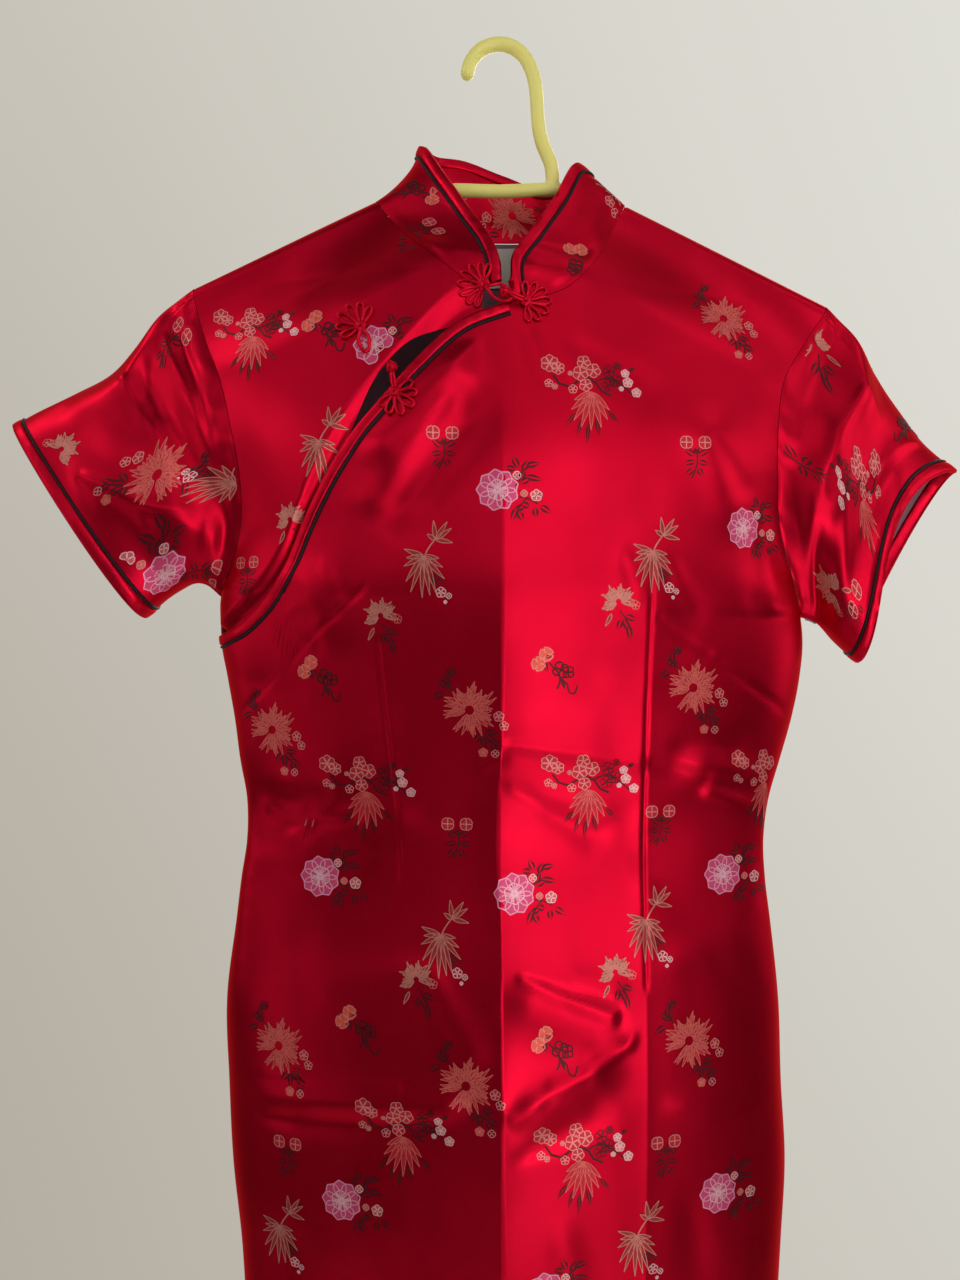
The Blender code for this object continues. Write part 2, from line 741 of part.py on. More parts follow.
def collar_grid(under, back, front):
    base_outer, base_inner, away = neck_ring(under, back, front)
    base_outer = base_outer + away * SEAM * 1.3
    base_inner = base_inner + away * SEAM * 1.3
    steps = np.linalg.norm(np.diff(base_outer, axis=0), axis=1)
    shares = np.concatenate([[0.0], np.cumsum(steps)]) / steps.sum()
    tops = np.array([[smooth(COLLAR_TOP, 1, s), smooth(COLLAR_TOP, 2, s), -smooth(COLLAR_TOP, 3, s)] for s in shares])
    path = unit(np.gradient(tops, axis=0))
    columns = []
    for base, top, run in zip(base_outer, tops, path):
        rise = top - base
        height = np.linalg.norm(rise)
        square = max(np.linalg.norm(np.cross(rise / height, run)), 0.45)
        band = min(BAND_WIDTH / square / height, 0.55)
        piping = min(band + (SEAM + PIPING_WIDTH) / square / height, 0.8)
        shares_up = [row * (1.0 - piping) for row in COLLAR_ROWS] + [1.0 - band, 1.0]
        columns.append([base + rise * share for share in shares_up])
    outer = np.array(columns)
    normals = grid_normals(outer, 1.0)
    middle = outer.mean(axis=(0, 1))
    flat = (outer - middle) * np.array([1.0, 1.0, 0.0])
    if float((flat * normals).sum()) < 0:
        normals = -normals
    inner = outer - normals * COLLAR_WALL
    thick = unit(base_inner - base_outer)
    inner[:, 0] = base_outer + thick * COLLAR_WALL
    return outer, inner, normals


def tube_sections(path, radius, sides=ROD_SIDES):
    """Round sections along a path that never runs along Y."""
    points = np.array(path, dtype=float)
    runs = unit(np.gradient(points, axis=0))
    sections = []
    for point, run in zip(points, runs):
        across = unit(np.cross(run, np.array([0.0, 1.0, 0.0])))
        ahead = np.cross(across, run)
        sections.append([
            point + radius * (math.cos(a) * across + math.sin(a) * ahead)
            for a in [2 * math.pi * k / sides for k in range(sides)]
        ])
    return sections


def round_end(path, radii):
    """Stations of (point, radius) along a path, with a shrinking nose at both ends."""
    points = [np.array(p, dtype=float) for p in path]
    start = unit(points[0] - points[1]) * radii[0]
    end = unit(points[-1] - points[-2]) * radii[-1]
    nose = [(0.5, 0.87), (0.87, 0.5), (0.98, 0.2)]
    head = [(points[0] + start * ahead, radii[0] * wide) for ahead, wide in reversed(nose)]
    tail = [(points[-1] + end * ahead, radii[-1] * wide) for ahead, wide in nose]
    return head + list(zip(points, radii)) + tail


def rod(name, path, radii, finish):
    stations = round_end(path, radii)
    points = [p for p, _ in stations]
    sections = []
    for section, (point, wide) in zip(tube_sections(points, 1.0), stations):
        sections.append([point + (spot - point) * wide for spot in section])
    return sweep(name, sections, finish)


def arm_centre(x):
    fall = SHOULDER_FALL[side_of(x)]
    return shoulder_down(x) + ARM_BELOW * math.hypot(1.0, fall)


def make_hanger(finish):
    """Arms and bar in one rod, and the hook's rod joined to it."""
    left = [(x, 0.0, -arm_centre(x)) for x in (ARM_END_LEFT, -150.0, -110.0, NECK_POINT["left"])]
    right = [(x, 0.0, -arm_centre(x)) for x in (NECK_POINT["right"], 115.0, 155.0, ARM_END_RIGHT)]
    bar = [(BAR_LEFT - 6.0, 0.0, -BAR_DOWN - 1.6), (BAR_LEFT + 4.0, 0.0, -BAR_DOWN),
           (0.0, 0.0, -BAR_DOWN), (BAR_RIGHT - 4.0, 0.0, -BAR_DOWN), (BAR_RIGHT + 6.0, 0.0, -BAR_DOWN - 2.2)]
    radii = [ARM_RADIUS] * len(left) + [BAR_RADIUS] * len(bar) + [ARM_RADIUS] * len(right)
    body = rod("hanger", left + bar + right, radii, finish)
    centre_down = HOOK_RADIUS - ROD_RADIUS
    steps = int((HOOK_START_DEG - HOOK_END_DEG) / HOOK_STEP_DEG)
    arc = []
    for k in range(steps + 1):
        angle = math.radians(HOOK_START_DEG - k * (HOOK_START_DEG - HOOK_END_DEG) / steps)
        arc.append((HOOK_RADIUS * math.cos(angle), 0.0, HOOK_RADIUS * math.sin(angle) - centre_down))
    stem = [(x, 0.0, -down) for x, down in STEM]
    hook = rod("hook", arc + stem, [ROD_RADIUS] * len(arc + stem), finish)
    join = body.modifiers.new("hook", "BOOLEAN")
    join.operation = "UNION"
    join.object = hook
    bake(body)
    bpy.data.objects.remove(hook, do_unlink=True)
    return body


def bake(obj):
    """Puts an object's modifiers into its mesh."""
    graph = bpy.context.evaluated_depsgraph_get()
    result = bpy.data.meshes.new_from_object(obj.evaluated_get(graph))
    obj.modifiers.clear()
    obj.data = result


def cloth_tree(objects):
    verts, faces = [], []
    for obj in objects:
        start = len(verts)
        verts += [v.co / MM for v in obj.data.vertices]
        faces += [[start + i for i in poly.vertices] for poly in obj.data.polygons]
    return BVHTree.FromPolygons(verts, faces)


def front_y(tree, x, down, start=-200.0, spread=2.4):
    """The y of the frontmost cloth near a place, looking along +Y from start."""
    hits = []
    for dx, dz in [(0, 0), (spread, 0), (-spread, 0), (0, spread), (0, -spread)]:
        hit = tree.ray_cast(Vector((x + dx, start, -down + dz)), Vector((0.0, 1.0, 0.0)))
        if hit[0] is not None and (start == 0.0 or hit[0].y < 0.0):
            hits.append(hit[0].y)
    return min(hits) if hits else None


def flower_outline(x, down, reach, first, last, petals):
    """Outline of a fan of petals round a small heart."""
    spots = []
    gap = (last - first) / petals
    for k in range(petals):
        middle = math.radians(first + gap * (k + 0.5))
        half = math.radians(gap * 0.5)
        grow = reach * (0.86 + 0.14 * math.cos(2.4 * (k - (petals - 1) / 2) / petals * 2))
        for turn, share in ((-0.92, 0.45), (-0.62, 0.86), (-0.2, 1.0), (0.2, 1.0), (0.62, 0.86)):
            spots.append((middle + half * turn, grow * share))
    start, end = math.radians(last), math.radians(first + 360.0)
    for k in range(6):
        spots.append((start + (end - start) * (k + 0.5) / 6, FLOWER_HEART))
    return [(x + r * math.cos(a), down - r * math.sin(a)) for a, r in spots]


def plate_on_cloth(name, outline, centre, tree, height, finish):
    """A low fan-shaped pad whose underside follows the cloth and comes down on its highest place."""
    low = []
    for x, down in [centre] + outline:
        between = [(centre[0] + (x - centre[0]) * share, centre[1] + (down - centre[1]) * share)
                   for share in FLOWER_STEPS]
        found = [front_y(tree, *spot, spread=FLOWER_SPREAD) for spot in between]
        low.append(np.array([x, min(y for y in found if y is not None), -down]))
    count = len(outline)
    settle = min(clearance(tree, low[0], low[1 + k], low[1 + (k + 1) % count]) for k in range(count))
    low = [point + np.array([0.0, settle - FLOWER_LIFT, 0.0]) for point in low]
    top = [point - np.array([0.0, height, 0.0]) for point in low]
    verts = low + top
    faces = []
    for k in range(count):
        h = (k + 1) % count
        faces.append((0, 1 + k, 1 + h))
        faces.append((count + 1, count + 2 + h, count + 2 + k))
        faces.append((1 + k, count + 2 + k, count + 2 + h, 1 + h))
    return add_mesh(name, verts, faces, finish)


def clearance(tree, heart, tip, next_tip):
    """The least distance along Y from a petal's underside to the cloth behind it."""
    gaps = []
    for out in FLOWER_STEPS:
        for turn in FLOWER_STEPS:
            spot = heart + (tip - heart) * out * (1.0 - turn) + (next_tip - heart) * out * turn
            cloth = front_y(tree, spot[0], -spot[2], spread=FINE_SPREAD)
            if cloth is not None:
                gaps.append(cloth - spot[1])
    return min(gaps)


def knot(name, places, tree, finish):
    """A round knot on a short stem that comes down on its flower."""
    (x, down), high, root = places
    found = [front_y(tree, *spot, spread=KNOT_SPREAD) for spot in (high, root)]
    low = found[1] - SEAM - STEM_RADIUS
    raised = low if found[0] is None else min(low, found[0] - SEAM - STEM_RADIUS)
    centre = np.array([x, raised, -down])
    lifted = np.array([high[0], raised, -high[1]])
    seated = np.array([root[0], low, -root[1]])
    run = unit(lifted - centre)
    neck = KNOT_RADIUS * 0.93
    path, radii = [], []
    for turn in (-0.8, -0.4, 0.0, 0.4, 0.75):
        path.append(centre + run * KNOT_RADIUS * turn)
        radii.append(KNOT_RADIUS * math.sqrt(1.0 - turn * turn))
    path += [centre + run * neck, lifted, seated]
    radii += [STEM_RADIUS] * 3
    return sweep(name, knot_sections(path, radii), finish)


def knot_sections(path, radii):
    sections = []
    for section, point, wide in zip(tube_sections(path, 1.0, 8), path, radii):
        sections.append([point + (spot - point) * wide for spot in section])
    return sections


def cord_loop(name, x0, down0, x1, down1, half, tree, finish):
    """A long closed eye of thin cord in front of the cloth."""
    run = np.array([x1 - x0, -(down1 - down0)])
    length = np.linalg.norm(run)
    run = run / length
    side = np.array([-run[1], run[0]])
    middle = np.array([(x0 + x1) / 2, -(down0 + down1) / 2])
    steps = 16
    points = []
    for k in range(steps):
        a = 2 * math.pi * k / steps
        flat = middle + run * math.cos(a) * length / 2 + side * math.sin(a) * half
        points.append(flat)
    found = [front_y(tree, p[0], -p[1], spread=LOOP_CORD) for p in points]
    y = min(spot for spot in found if spot is not None) - SEAM - LOOP_CORD
    centres = np.array([[p[0], y, p[1]] for p in points])
    tangents = unit(np.roll(centres, -1, axis=0) - np.roll(centres, 1, axis=0))
    face = np.array([0.0, -1.0, 0.0])
    sections = []
    for centre, tangent in zip(centres, tangents):
        across = np.cross(tangent, face)
        sections.append([
            centre + LOOP_CORD * (math.cos(b) * across + math.sin(b) * face)
            for b in [2 * math.pi * k / 6 for k in range(6)]
        ])
    return sweep(name, sections, finish, closed=True)


def make_label(back_tree, finish):
    """A blank woven label inside the back of the neck."""
    half = LABEL["width"] / 2
    xs = [LABEL["x"] - half, LABEL["x"], LABEL["x"] + half]
    downs = [LABEL["top"] + LABEL["height"] * k / 3 for k in range(4)]
    grid = []
    for x in xs:
        column = []
        for down in downs:
            column.append(np.array([x, front_y(back_tree, x, down, 0.0) - SEAM, -down]))
        grid.append(column)
    outer = np.array(grid)
    inner = outer - np.array([0.0, LABEL["wall"], 0.0])
    return shell("neck_label", outer, inner, finish)


def main():
    clear_scene()
    satin = material("red_brocade", (0.62, 0.01, 0.04), 0.38, 0.3)
    band = material("red_satin_binding", (0.6, 0.01, 0.04), 0.4, 0.2)
    black = material("black_piping", (0.03, 0.01, 0.02), 0.5)
    cord = material("frog_cord", (0.6, 0.02, 0.05), 0.45)
    plastic = material("yellow_plastic", (0.85, 0.78, 0.3), 0.4)
    white = material("label_cloth", (0.8, 0.78, 0.74), 0.8)

    under = panel_grid("under", UNDER_COLUMNS)
    front = panel_grid("front", LEFT_COLUMNS + [OPENING_X / TIP["right"][0]] + RIGHT_COLUMNS)
    back = panel_grid("back", BACK_LEFT + BACK_RIGHT)
    body = [
        shell("under_front", under[0], under[1], satin),
        shell("front", front[0], front[1], satin),
        shell("back", back[0], back[1], satin),
    ]
    open_columns = [i for i, x in enumerate(front[0][:, 0, 0]) if x <= OPENING_X + 0.1]
    cut = slice(0, len(open_columns))
    edges = [part[cut] for part in front]
    body.append(sweep("opening_binding", binding_sections(*edges, (0, 2)), band))
    body.append(sweep("opening_piping", piping_sections(edges[0], edges[2], (2, 3)), black))

    for side, table, folds, ahead in (("left", LEFT_SLEEVE, LEFT_SLEEVE_FOLDS, under),
                                      ("right", RIGHT_SLEEVE, RIGHT_SLEEVE_FOLDS, front)):
        wearer = "right" if side == "left" else "left"
        outer, inner, normals = sleeve_grid(side, table, folds, ahead, back)
        shell(f"sleeve_{wearer}", outer, inner, satin, closed=True)
        sweep(f"sleeve_binding_{wearer}", binding_sections(outer, inner, normals, (-1, -2)), band, closed=True)
        sweep(f"sleeve_piping_{wearer}", piping_sections(outer, normals, (-2, -3)), black, closed=True)

    outer, inner, normals = collar_grid(under, back, front)
    body.append(shell("collar", outer, inner, satin))
    body.append(sweep("collar_binding", binding_sections(outer, inner, normals, (-1, -2)), band))
    body.append(sweep("collar_piping", piping_sections(outer, normals, (-2, -3)), black))

    make_hanger(plastic)
    make_label(cloth_tree(body[2:3]), white)

    tree = cloth_tree(body)
    for name, x, down, reach, first, last, petals in FLOWERS:
        outline = flower_outline(x, down, reach, first, last, petals)
        body.append(plate_on_cloth(name, outline, (x, down), tree, FLOWER_HEIGHT, cord))
    tree = cloth_tree(body)
    for name, x0, down0, x1, down1, half in LOOPS:
        body.append(cord_loop(name, x0, down0, x1, down1, half, tree, cord))
    tree = cloth_tree(body)
    for name, x, down, high_x, high_down, root_x, root_down in KNOTS:
        knot(name, ((x, down), (high_x, high_down), (root_x, root_down)), tree, cord)


main()
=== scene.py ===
"""Short-sleeved brocade cheongsam on its plastic hanger: cloth, sewing, woven flowers and finishes.

Sizes are in millimetres until a mesh is made. "down" is the distance below the hook's inner top.
"""
import math

import bpy
import numpy as np
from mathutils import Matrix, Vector
from mathutils.bvhtree import BVHTree


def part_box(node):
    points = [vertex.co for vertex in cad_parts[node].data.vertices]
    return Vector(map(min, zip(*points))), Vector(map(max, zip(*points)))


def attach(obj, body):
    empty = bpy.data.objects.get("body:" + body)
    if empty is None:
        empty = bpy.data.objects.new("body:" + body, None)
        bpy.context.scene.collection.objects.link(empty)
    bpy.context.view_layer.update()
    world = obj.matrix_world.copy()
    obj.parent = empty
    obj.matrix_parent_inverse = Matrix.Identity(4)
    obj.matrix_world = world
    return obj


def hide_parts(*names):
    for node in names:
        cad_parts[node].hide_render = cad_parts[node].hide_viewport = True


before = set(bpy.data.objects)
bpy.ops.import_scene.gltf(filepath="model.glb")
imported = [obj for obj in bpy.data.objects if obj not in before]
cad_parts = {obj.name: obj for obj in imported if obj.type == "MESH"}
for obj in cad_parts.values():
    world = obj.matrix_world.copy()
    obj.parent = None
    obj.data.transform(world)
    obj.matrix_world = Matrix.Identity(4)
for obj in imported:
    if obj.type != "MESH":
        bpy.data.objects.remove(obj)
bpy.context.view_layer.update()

MM = 0.001

# Cloth and sewing
CLOTH = 0.9
COLLAR_WALL = 1.6
SEAM = 0.3
BAND_WIDTH = 5.5
SLEEVE_BAND = 6.5
BAND_RISE = 1.15
PIPING_WIDTH = 2.0
PIPING_RISE = 1.1
PIPING_GAP = 0.2
BAND_TUCK = 0.12
BAND_PAST_EDGE = 0.35
BAND_INSIDE_EDGE = 0.2
HEM_TURN = 22.0
HEM_EXTRA = 0.6
LAP_DEPTH = 4.6
LAP_FADE = 24.0
CREASE_LIFT = 1.9
CREASE_REACH = 11.0
CREASE_TOP = 225.0
CREASE_FADE = 110.0
DART_LIFT = 1.3
DART_REACH = 15.0
DART_TOP = 330.0
LEFT_DART_LOW = 474.0
STITCH_FADE = 3.0
PUCKER_REACH = 9.0

# Hanger
ROD_RADIUS = 4.35
BAR_RADIUS = 4.1
ARM_RADIUS = 3.2
HOOK_RADIUS = 19.8
HOOK_START_DEG = 188.0
HOOK_END_DEG = 25.0
BAR_DOWN = 87.7
BAR_LEFT = -43.0
BAR_RIGHT = 46.5
STEM = [(27.0, 58.0), (32.5, 72.0), (33.5, 86.0)]
ARM_END_LEFT = -184.0
ARM_END_RIGHT = 197.0
ARM_BELOW = 5.3

# Shoulder line, armholes and hem
SHOULDER_PEAK = 57.5
SHOULDER_EASE = 15.0
SHOULDER_FALL = {"left": 0.482, "right": 0.5056}
SHOULDER_ROUND = 8.0
SHOULDER_GROW = 75.0
TIP = {"left": (-189.5, 148.9), "right": (203.0, 160.3)}
UNDERARM = {"left": 341.0, "right": 354.0}
ARMHOLE_DEPTH = {"front": 24.0, "back": 20.0}
HEM_DOWN = 1060.0
SLIT_TOP = 880.0
SLIT_PART = 6.0

OUTLINE = [
    # down, left, right
    (0, 189.5, 203),
    (148, 189.5, 203),
    (160, 187.5, 203),
    (181, 181.3, 190.5),
    (210, 169, 172.5),
    (240, 161.5, 167),
    (270, 156.5, 166.6),
    (297, 157, 168.5),
    (321, 164, 176),
    (341, 173.5, 184),
    (356, 174, 188),
    (368, 173.5, 189),
    (392, 169.3, 187),
    (417, 165, 182),
    (442, 161.8, 175),
    (467, 157.5, 168),
    (492, 157.5, 165),
    (516, 161, 166),
    (541, 164, 169),
    (591, 170, 174),
    (640, 168.5, 175.5),
    (690, 166, 178),
    (740, 160.6, 175.5),
    (800, 157, 172),
    (900, 152, 166),
    (1060, 146, 160),
]
FULLNESS = [
    # down, front, back, front_fold, back_fold
    (60, 34, 22, 2, 2),
    (170, 41, 30, 2, 2),
    (250, 52, 38, 1.7, 2),
    (300, 57, 40, 1.35, 1.8),
    (340, 60, 40, 1.2, 1.6),
    (400, 55, 38, 1.12, 1.5),
    (490, 38, 30, 1.08, 1.4),
    (600, 54, 42, 1.1, 1.4),
    (760, 52, 42, 1.15, 1.5),
    (1060, 44, 36, 1.3, 1.6),
]
FRONT_NECK = [
    # x, down
    (-77.5, 95),
    (-57.4, 123),
    (-41.3, 140),
    (-26.9, 152.6),
    (-12.4, 163),
    (5.5, 171),
    (22.5, 168),
    (45, 157),
    (59, 139),
    (71, 114),
    (78.5, 97.8),
]
BACK_NECK = [
    # x, down
    (-77.5, 95),
    (-62, 104.5),
    (-40, 110),
    (0, 112.5),
    (40, 111.5),
    (62, 107),
    (78.5, 97.8),
]
NECK_POINT = {"left": -77.5, "right": 78.5}
OPENING = [
    # x, down
    (-171.5, 366),
    (-153, 356.8),
    (-137, 340.5),
    (-124.3, 319.6),
    (-116.2, 300.7),
    (-104.2, 277),
    (-87.6, 250.8),
    (-70.6, 230.5),
    (-51.6, 208.5),
    (-26.8, 184.9),
    (5.5, 171),
]
OPENING_START = -173.0
OPENING_X = 5.5
UNDER_EDGE = [
    # x, down
    (-174, 379),
    (-153, 369),
    (-137, 354),
    (-124.3, 334),
    (-116.2, 315),
    (-104.2, 286),
    (-88, 245),
    (-72, 213.5),
    (-59, 198),
    (-36, 185.5),
    (-14, 184),
    (2, 184),
]
UNDER_END = -0.065

# Darts, and the columns that follow them down the panel
LEFT_DART = [
    # down, x
    (150, -76),
    (367, -71),
    (420, -66),
    (467, -61),
    (1060, -60),
]
RIGHT_DART = [
    # down, x
    (150, 88),
    (327, 87),
    (420, 85),
    (566, 85.5),
    (1060, 80),
]
DART_SHARE = 0.45
CENTRE_CREASE = [
    # down, x
    (150, 0),
    (440, 0),
    (478, -2),
    (540, 0.4),
    (640, 1.2),
    (740, 3.6),
    (800, 5),
    (1060, 7),
]
DARTS = [
    # x0, down0, x1, down1, dip, width
    (-71, 367, -60.5, 470, 0.5, 1.3),
    (-60.5, 470, -58.5, 512, 0.3, 1.4),
    (87, 322, 85, 404, 0.7, 1.3),
    (85, 404, 85.5, 572, 0.8, 1.3),
    (-157, 412, -112, 368, 0.7, 1.8),
    (-112, 368, -78, 337, 0.6, 1.8),
    (179, 417, 171, 409, 0.7, 1.8),
    (171, 409, 118, 374, 0.8, 1.8),
    (118, 374, 90, 356, 0.7, 1.8),
]
BACK_DARTS = [
    # x0, down0, x1, down1, dip, width
    (-72, 380, -64, 480, 0.8, 1.6),
    (-64, 480, -70, 590, 0.7, 1.6),
    (78, 372, 70, 480, 0.8, 1.6),
    (70, 480, 76, 598, 0.7, 1.6),
    (0, 130, 0, 1060, 0.5, 1.4),
]

# Largest folds, as soft ridges (+) and troughs (-)
FRONT_FOLDS = [
    # x0, down0, x1, down1, height, width
    (-20, 205, -75, 262, 4, 12),
    (-12, 235, -62, 300, -3.5, 13),
    (-150, 470, -105, 462, -3.5, 12),
    (112, 442, 155, 452, 3.5, 12),
    (-150, 640, -25, 634, 2.6, 9),
    (8, 575, 66, 600, -3.2, 12),
    (12, 640, 62, 612, 3, 12),
    (80, 315, 92, 360, 2.5, 20),
    (120, 240, 142, 300, 3, 14),
    (-118, 330, -100, 372, 3, 12),
]
BACK_FOLDS = [
    # x0, down0, x1, down1, height, width
    (-70, 170, -130, 250, 3.5, 14),
    (80, 175, 132, 262, 3, 15),
    (-140, 468, -70, 480, -4, 13),
    (60, 455, 140, 472, -3.5, 13),
    (20, 590, 105, 570, 3.5, 14),
    (-110, 630, -30, 615, 3.5, 14),
]
# Finer folds
FRONT_CREASES = [
    # x0, down0, x1, down1, height, width
    (-14, 196, -52, 226, 1.2, 6),
    (-30, 228, -78, 292, 1.3, 8),
    (14, 186, 30, 232, -0.8, 8),
    (40, 196, 96, 226, -0.7, 9),
    (-104, 322, -92, 350, 0.8, 4.5),
    (-132, 362, -110, 378, -0.9, 5),
    (-128, 348, -100, 342, 0.8, 5),
    (-150, 392, -120, 404, -1, 8),
    (70, 318, 80, 344, 1, 6),
    (98, 322, 116, 356, -1, 7),
    (124, 248, 146, 282, -1.2, 6),
    (158, 292, 166, 352, 1.4, 6),
    (148, 300, 152, 350, -1, 6),
    (-12, 442, 2, 434, 0.9, 5),
    (-142, 470, -126, 481, -1.8, 4.5),
    (-126, 481, -84, 472, -2, 5),
    (-140, 452, -92, 458, 2.4, 13),
    (-156, 500, -110, 506, 1.2, 10),
    (86, 441, 126, 451, -1.7, 4),
    (126, 451, 150, 458, -1, 4),
    (122, 459, 154, 470, 1.8, 4.5),
    (104, 430, 150, 432, -0.9, 8),
    (2, 428, 84, 440, 0.9, 3.5),
    (4, 452, 60, 488, -1, 6),
    (18, 462, 70, 470, 0.6, 9),
    (-52, 470, -10, 476, -0.9, 9),
    (-40, 560, -110, 574, 1.2, 12),
    (-140, 654, -40, 650, -1, 6.5),
    (-144, 627, -58, 626, 0.9, 3),
    (-41, 560, -14, 610, 1.4, 9),
    (96, 560, 150, 548, 1, 12),
    (10, 563, 36, 576, -1.3, 3.2),
    (36, 576, 68, 588, -2, 3.4),
    (40, 562, 70, 574, 1, 6),
    (78, 600, 50, 616, 1.7, 4),
    (50, 616, 28, 624, 1.4, 4),
    (28, 624, 4, 641, 1.2, 4.5),
    (10, 662, 60, 640, -1.2, 8),
    (100, 640, 158, 656, 1.1, 10),
    (-60, 700, -30, 760, 1.2, 13),
    (34, 706, 54, 800, 1.3, 13),
    (-130, 720, -104, 838, -1.4, 15),
    (112, 700, 126, 842, -1.2, 14),
    (-24, 820, -40, 960, 1.5, 16),
    (70, 850, 60, 1000, -1.5, 16),
    (-104, 890, -96, 1040, 1.6, 15),
    (128, 900, 118, 1040, 1.5, 14),
]
BACK_CREASES = [
    # x0, down0, x1, down1, height, width
    (-20, 128, -62, 160, -1.2, 8),
    (22, 130, 70, 158, -1.1, 9),
    (-96, 190, -140, 262, -1.5, 8),
    (104, 188, 146, 268, -1.4, 8),
    (-150, 322, -112, 366, 1.4, 9),
    (160, 330, 118, 372, 1.5, 9),
    (-156, 448, -110, 452, 1.5, 7),
    (-150, 488, -96, 498, 1.2, 8),
    (104, 440, 158, 448, 1.3, 8),
    (96, 486, 152, 500, 1.3, 8),
    (-54, 470, -12, 476, -1.1, 8),
    (12, 462, 56, 456, -1.2, 9),
    (-30, 560, -96, 590, -1.6, 10),
    (32, 612, 110, 596, -1.4, 9),
    (-120, 660, -40, 648, -1.2, 9),
    (-40, 700, -70, 820, 1.5, 16),
    (40, 690, 58, 830, 1.6, 15),
    (-120, 780, -112, 930, -1.4, 15),
    (110, 760, 122, 920, -1.5, 15),
    (-20, 880, -34, 1030, 1.5, 16),
    (60, 900, 66, 1040, 1.4, 16),
]

# Sleeves, from the armhole (t = 0) to the hem (t = 1)
LEFT_SLEEVE = [
    # t, top_x, top_down, low_x, low_down, half_depth
    (0, -189.5, 148.9, -173.5, 341, 22),
    (0.2, -211, 166, -183, 333.5, 24),
    (0.36, -225.5, 186, -191, 333, 25),
    (0.52, -240, 202, -199, 337, 25),
    (0.7, -263, 214.5, -207.5, 342.5, 25),
    (0.88, -288, 227, -216, 349.5, 26),
    (1, -301.3, 234.4, -221.3, 353.4, 27),
]
RIGHT_SLEEVE = [
    # t, top_x, top_down, low_x, low_down, half_depth
    (0, 203, 160.3, 184, 354, 22),
    (0.2, 221, 178.5, 193, 356, 24),
    (0.42, 234.5, 203, 201.5, 361.5, 25),
    (0.63, 249.5, 224.5, 209.5, 369.5, 24),
    (0.83, 266, 246, 217.5, 376.5, 24),
    (1, 285.2, 262.3, 223.8, 381.3, 24),
]
SLEEVES = {"left": LEFT_SLEEVE, "right": RIGHT_SLEEVE}
SLEEVE_GIRTH = 480.0
SLEEVE_PULL = {"left": 3.0, "right": 38.0}
# How far down the armhole each even step round the sleeve lies, so that both sets of points meet
ARM_LEVELS = [0.0, 0.0094, 0.0287, 0.041, 0.12, 0.24, 0.36, 0.48, 0.6, 0.72, 0.84, 0.93, 0.98, 1.0]
SLEEVE_FOLDS = {
    "left": [
        # around0, t0, around1, t1, height, width
        (0.04, 0.12, 0.2, 0.1, -3, 13),
        (0.05, 0.02, 0.24, 0, 3, 10),
        (0.13, 0.36, 0.23, 0.3, -6, 9),
        (0.23, 0.3, 0.37, 0.14, -6, 8),
        (0.08, 0.6, 0.24, 0.55, 3.5, 16),
        (0.212, 0.815, 0.3, 0.56, 3, 7),
        (0.3, 0.56, 0.39, 0.14, 4, 7),
        (0.88, 0.3, 0.68, 0.15, -4, 14),
        (0.82, 0.6, 0.62, 0.2, 4, 14),
    ],
    "right": [
        # around0, t0, around1, t1, height, width
        (0.04, 0.1, 0.24, 0.1, -4, 13),
        (0.1, 0.44, 0.23, 0.33, 4.5, 12),
        (0.23, 0.33, 0.32, 0.17, 4.5, 10),
        (0.16, 0.84, 0.27, 0.52, -3, 9),
        (0.336, 0.265, 0.46, 0.28, -3.5, 8),
        (0.27, 0.56, 0.42, 0.66, 3, 13),
        (0.88, 0.35, 0.66, 0.15, -4, 14),
        (0.8, 0.65, 0.62, 0.3, 3.5, 14),
    ],
}
SLEEVE_CREASES = {
    "left": [
        # around0, t0, around1, t1, height, width
        (0.094, 0.47, 0.2, 0.4, 1.3, 3.6),
        (0.2, 0.4, 0.27, 0.33, 1.3, 3.6),
        (0.27, 0.33, 0.37, 0.15, 1.6, 3.2),
        (0.14, 0.19, 0.245, 0.165, 2.2, 4.6),
        (0.245, 0.165, 0.3, 0.135, 1.8, 4),
        (0.142, 0.115, 0.224, 0.11, -1.8, 3.2),
        (0.224, 0.11, 0.285, 0.105, -1.5, 3),
        (0.212, 0.815, 0.294, 0.58, 1.7, 2.6),
        (0.294, 0.58, 0.388, 0.125, 2, 2.6),
        (0.282, 0.74, 0.36, 0.54, -1.2, 8),
        (0.05, 0.7, 0.1, 0.8, -0.9, 7),
        (0.42, 0.6, 0.45, 0.25, 1.2, 6),
        (0.9, 0.15, 0.74, 0.1, 1.6, 7),
        (0.8, 0.42, 0.64, 0.1, -1.7, 7),
        (0.74, 0.72, 0.58, 0.3, 1.4, 7),
    ],
    "right": [
        # around0, t0, around1, t1, height, width
        (0.118, 0.37, 0.228, 0.3, 2, 3.6),
        (0.228, 0.3, 0.314, 0.16, 2, 3.4),
        (0.02, 0.82, 0.16, 0.72, 1, 4),
        (0.16, 0.72, 0.262, 0.42, 1.4, 3.4),
        (0.262, 0.42, 0.33, 0.16, 1.4, 3.2),
        (0.165, 0.03, 0.21, 0.08, 1.4, 4),
        (0.34, 0.26, 0.46, 0.26, -1.6, 4),
        (0.3, 0.5, 0.4, 0.5, 1.2, 6),
        (0.2, 0.86, 0.34, 0.82, 1, 6),
        (0.9, 0.2, 0.72, 0.1, 1.5, 7),
        (0.82, 0.5, 0.66, 0.14, -1.6, 7),
        (0.72, 0.8, 0.58, 0.4, 1.4, 8),
    ],
}

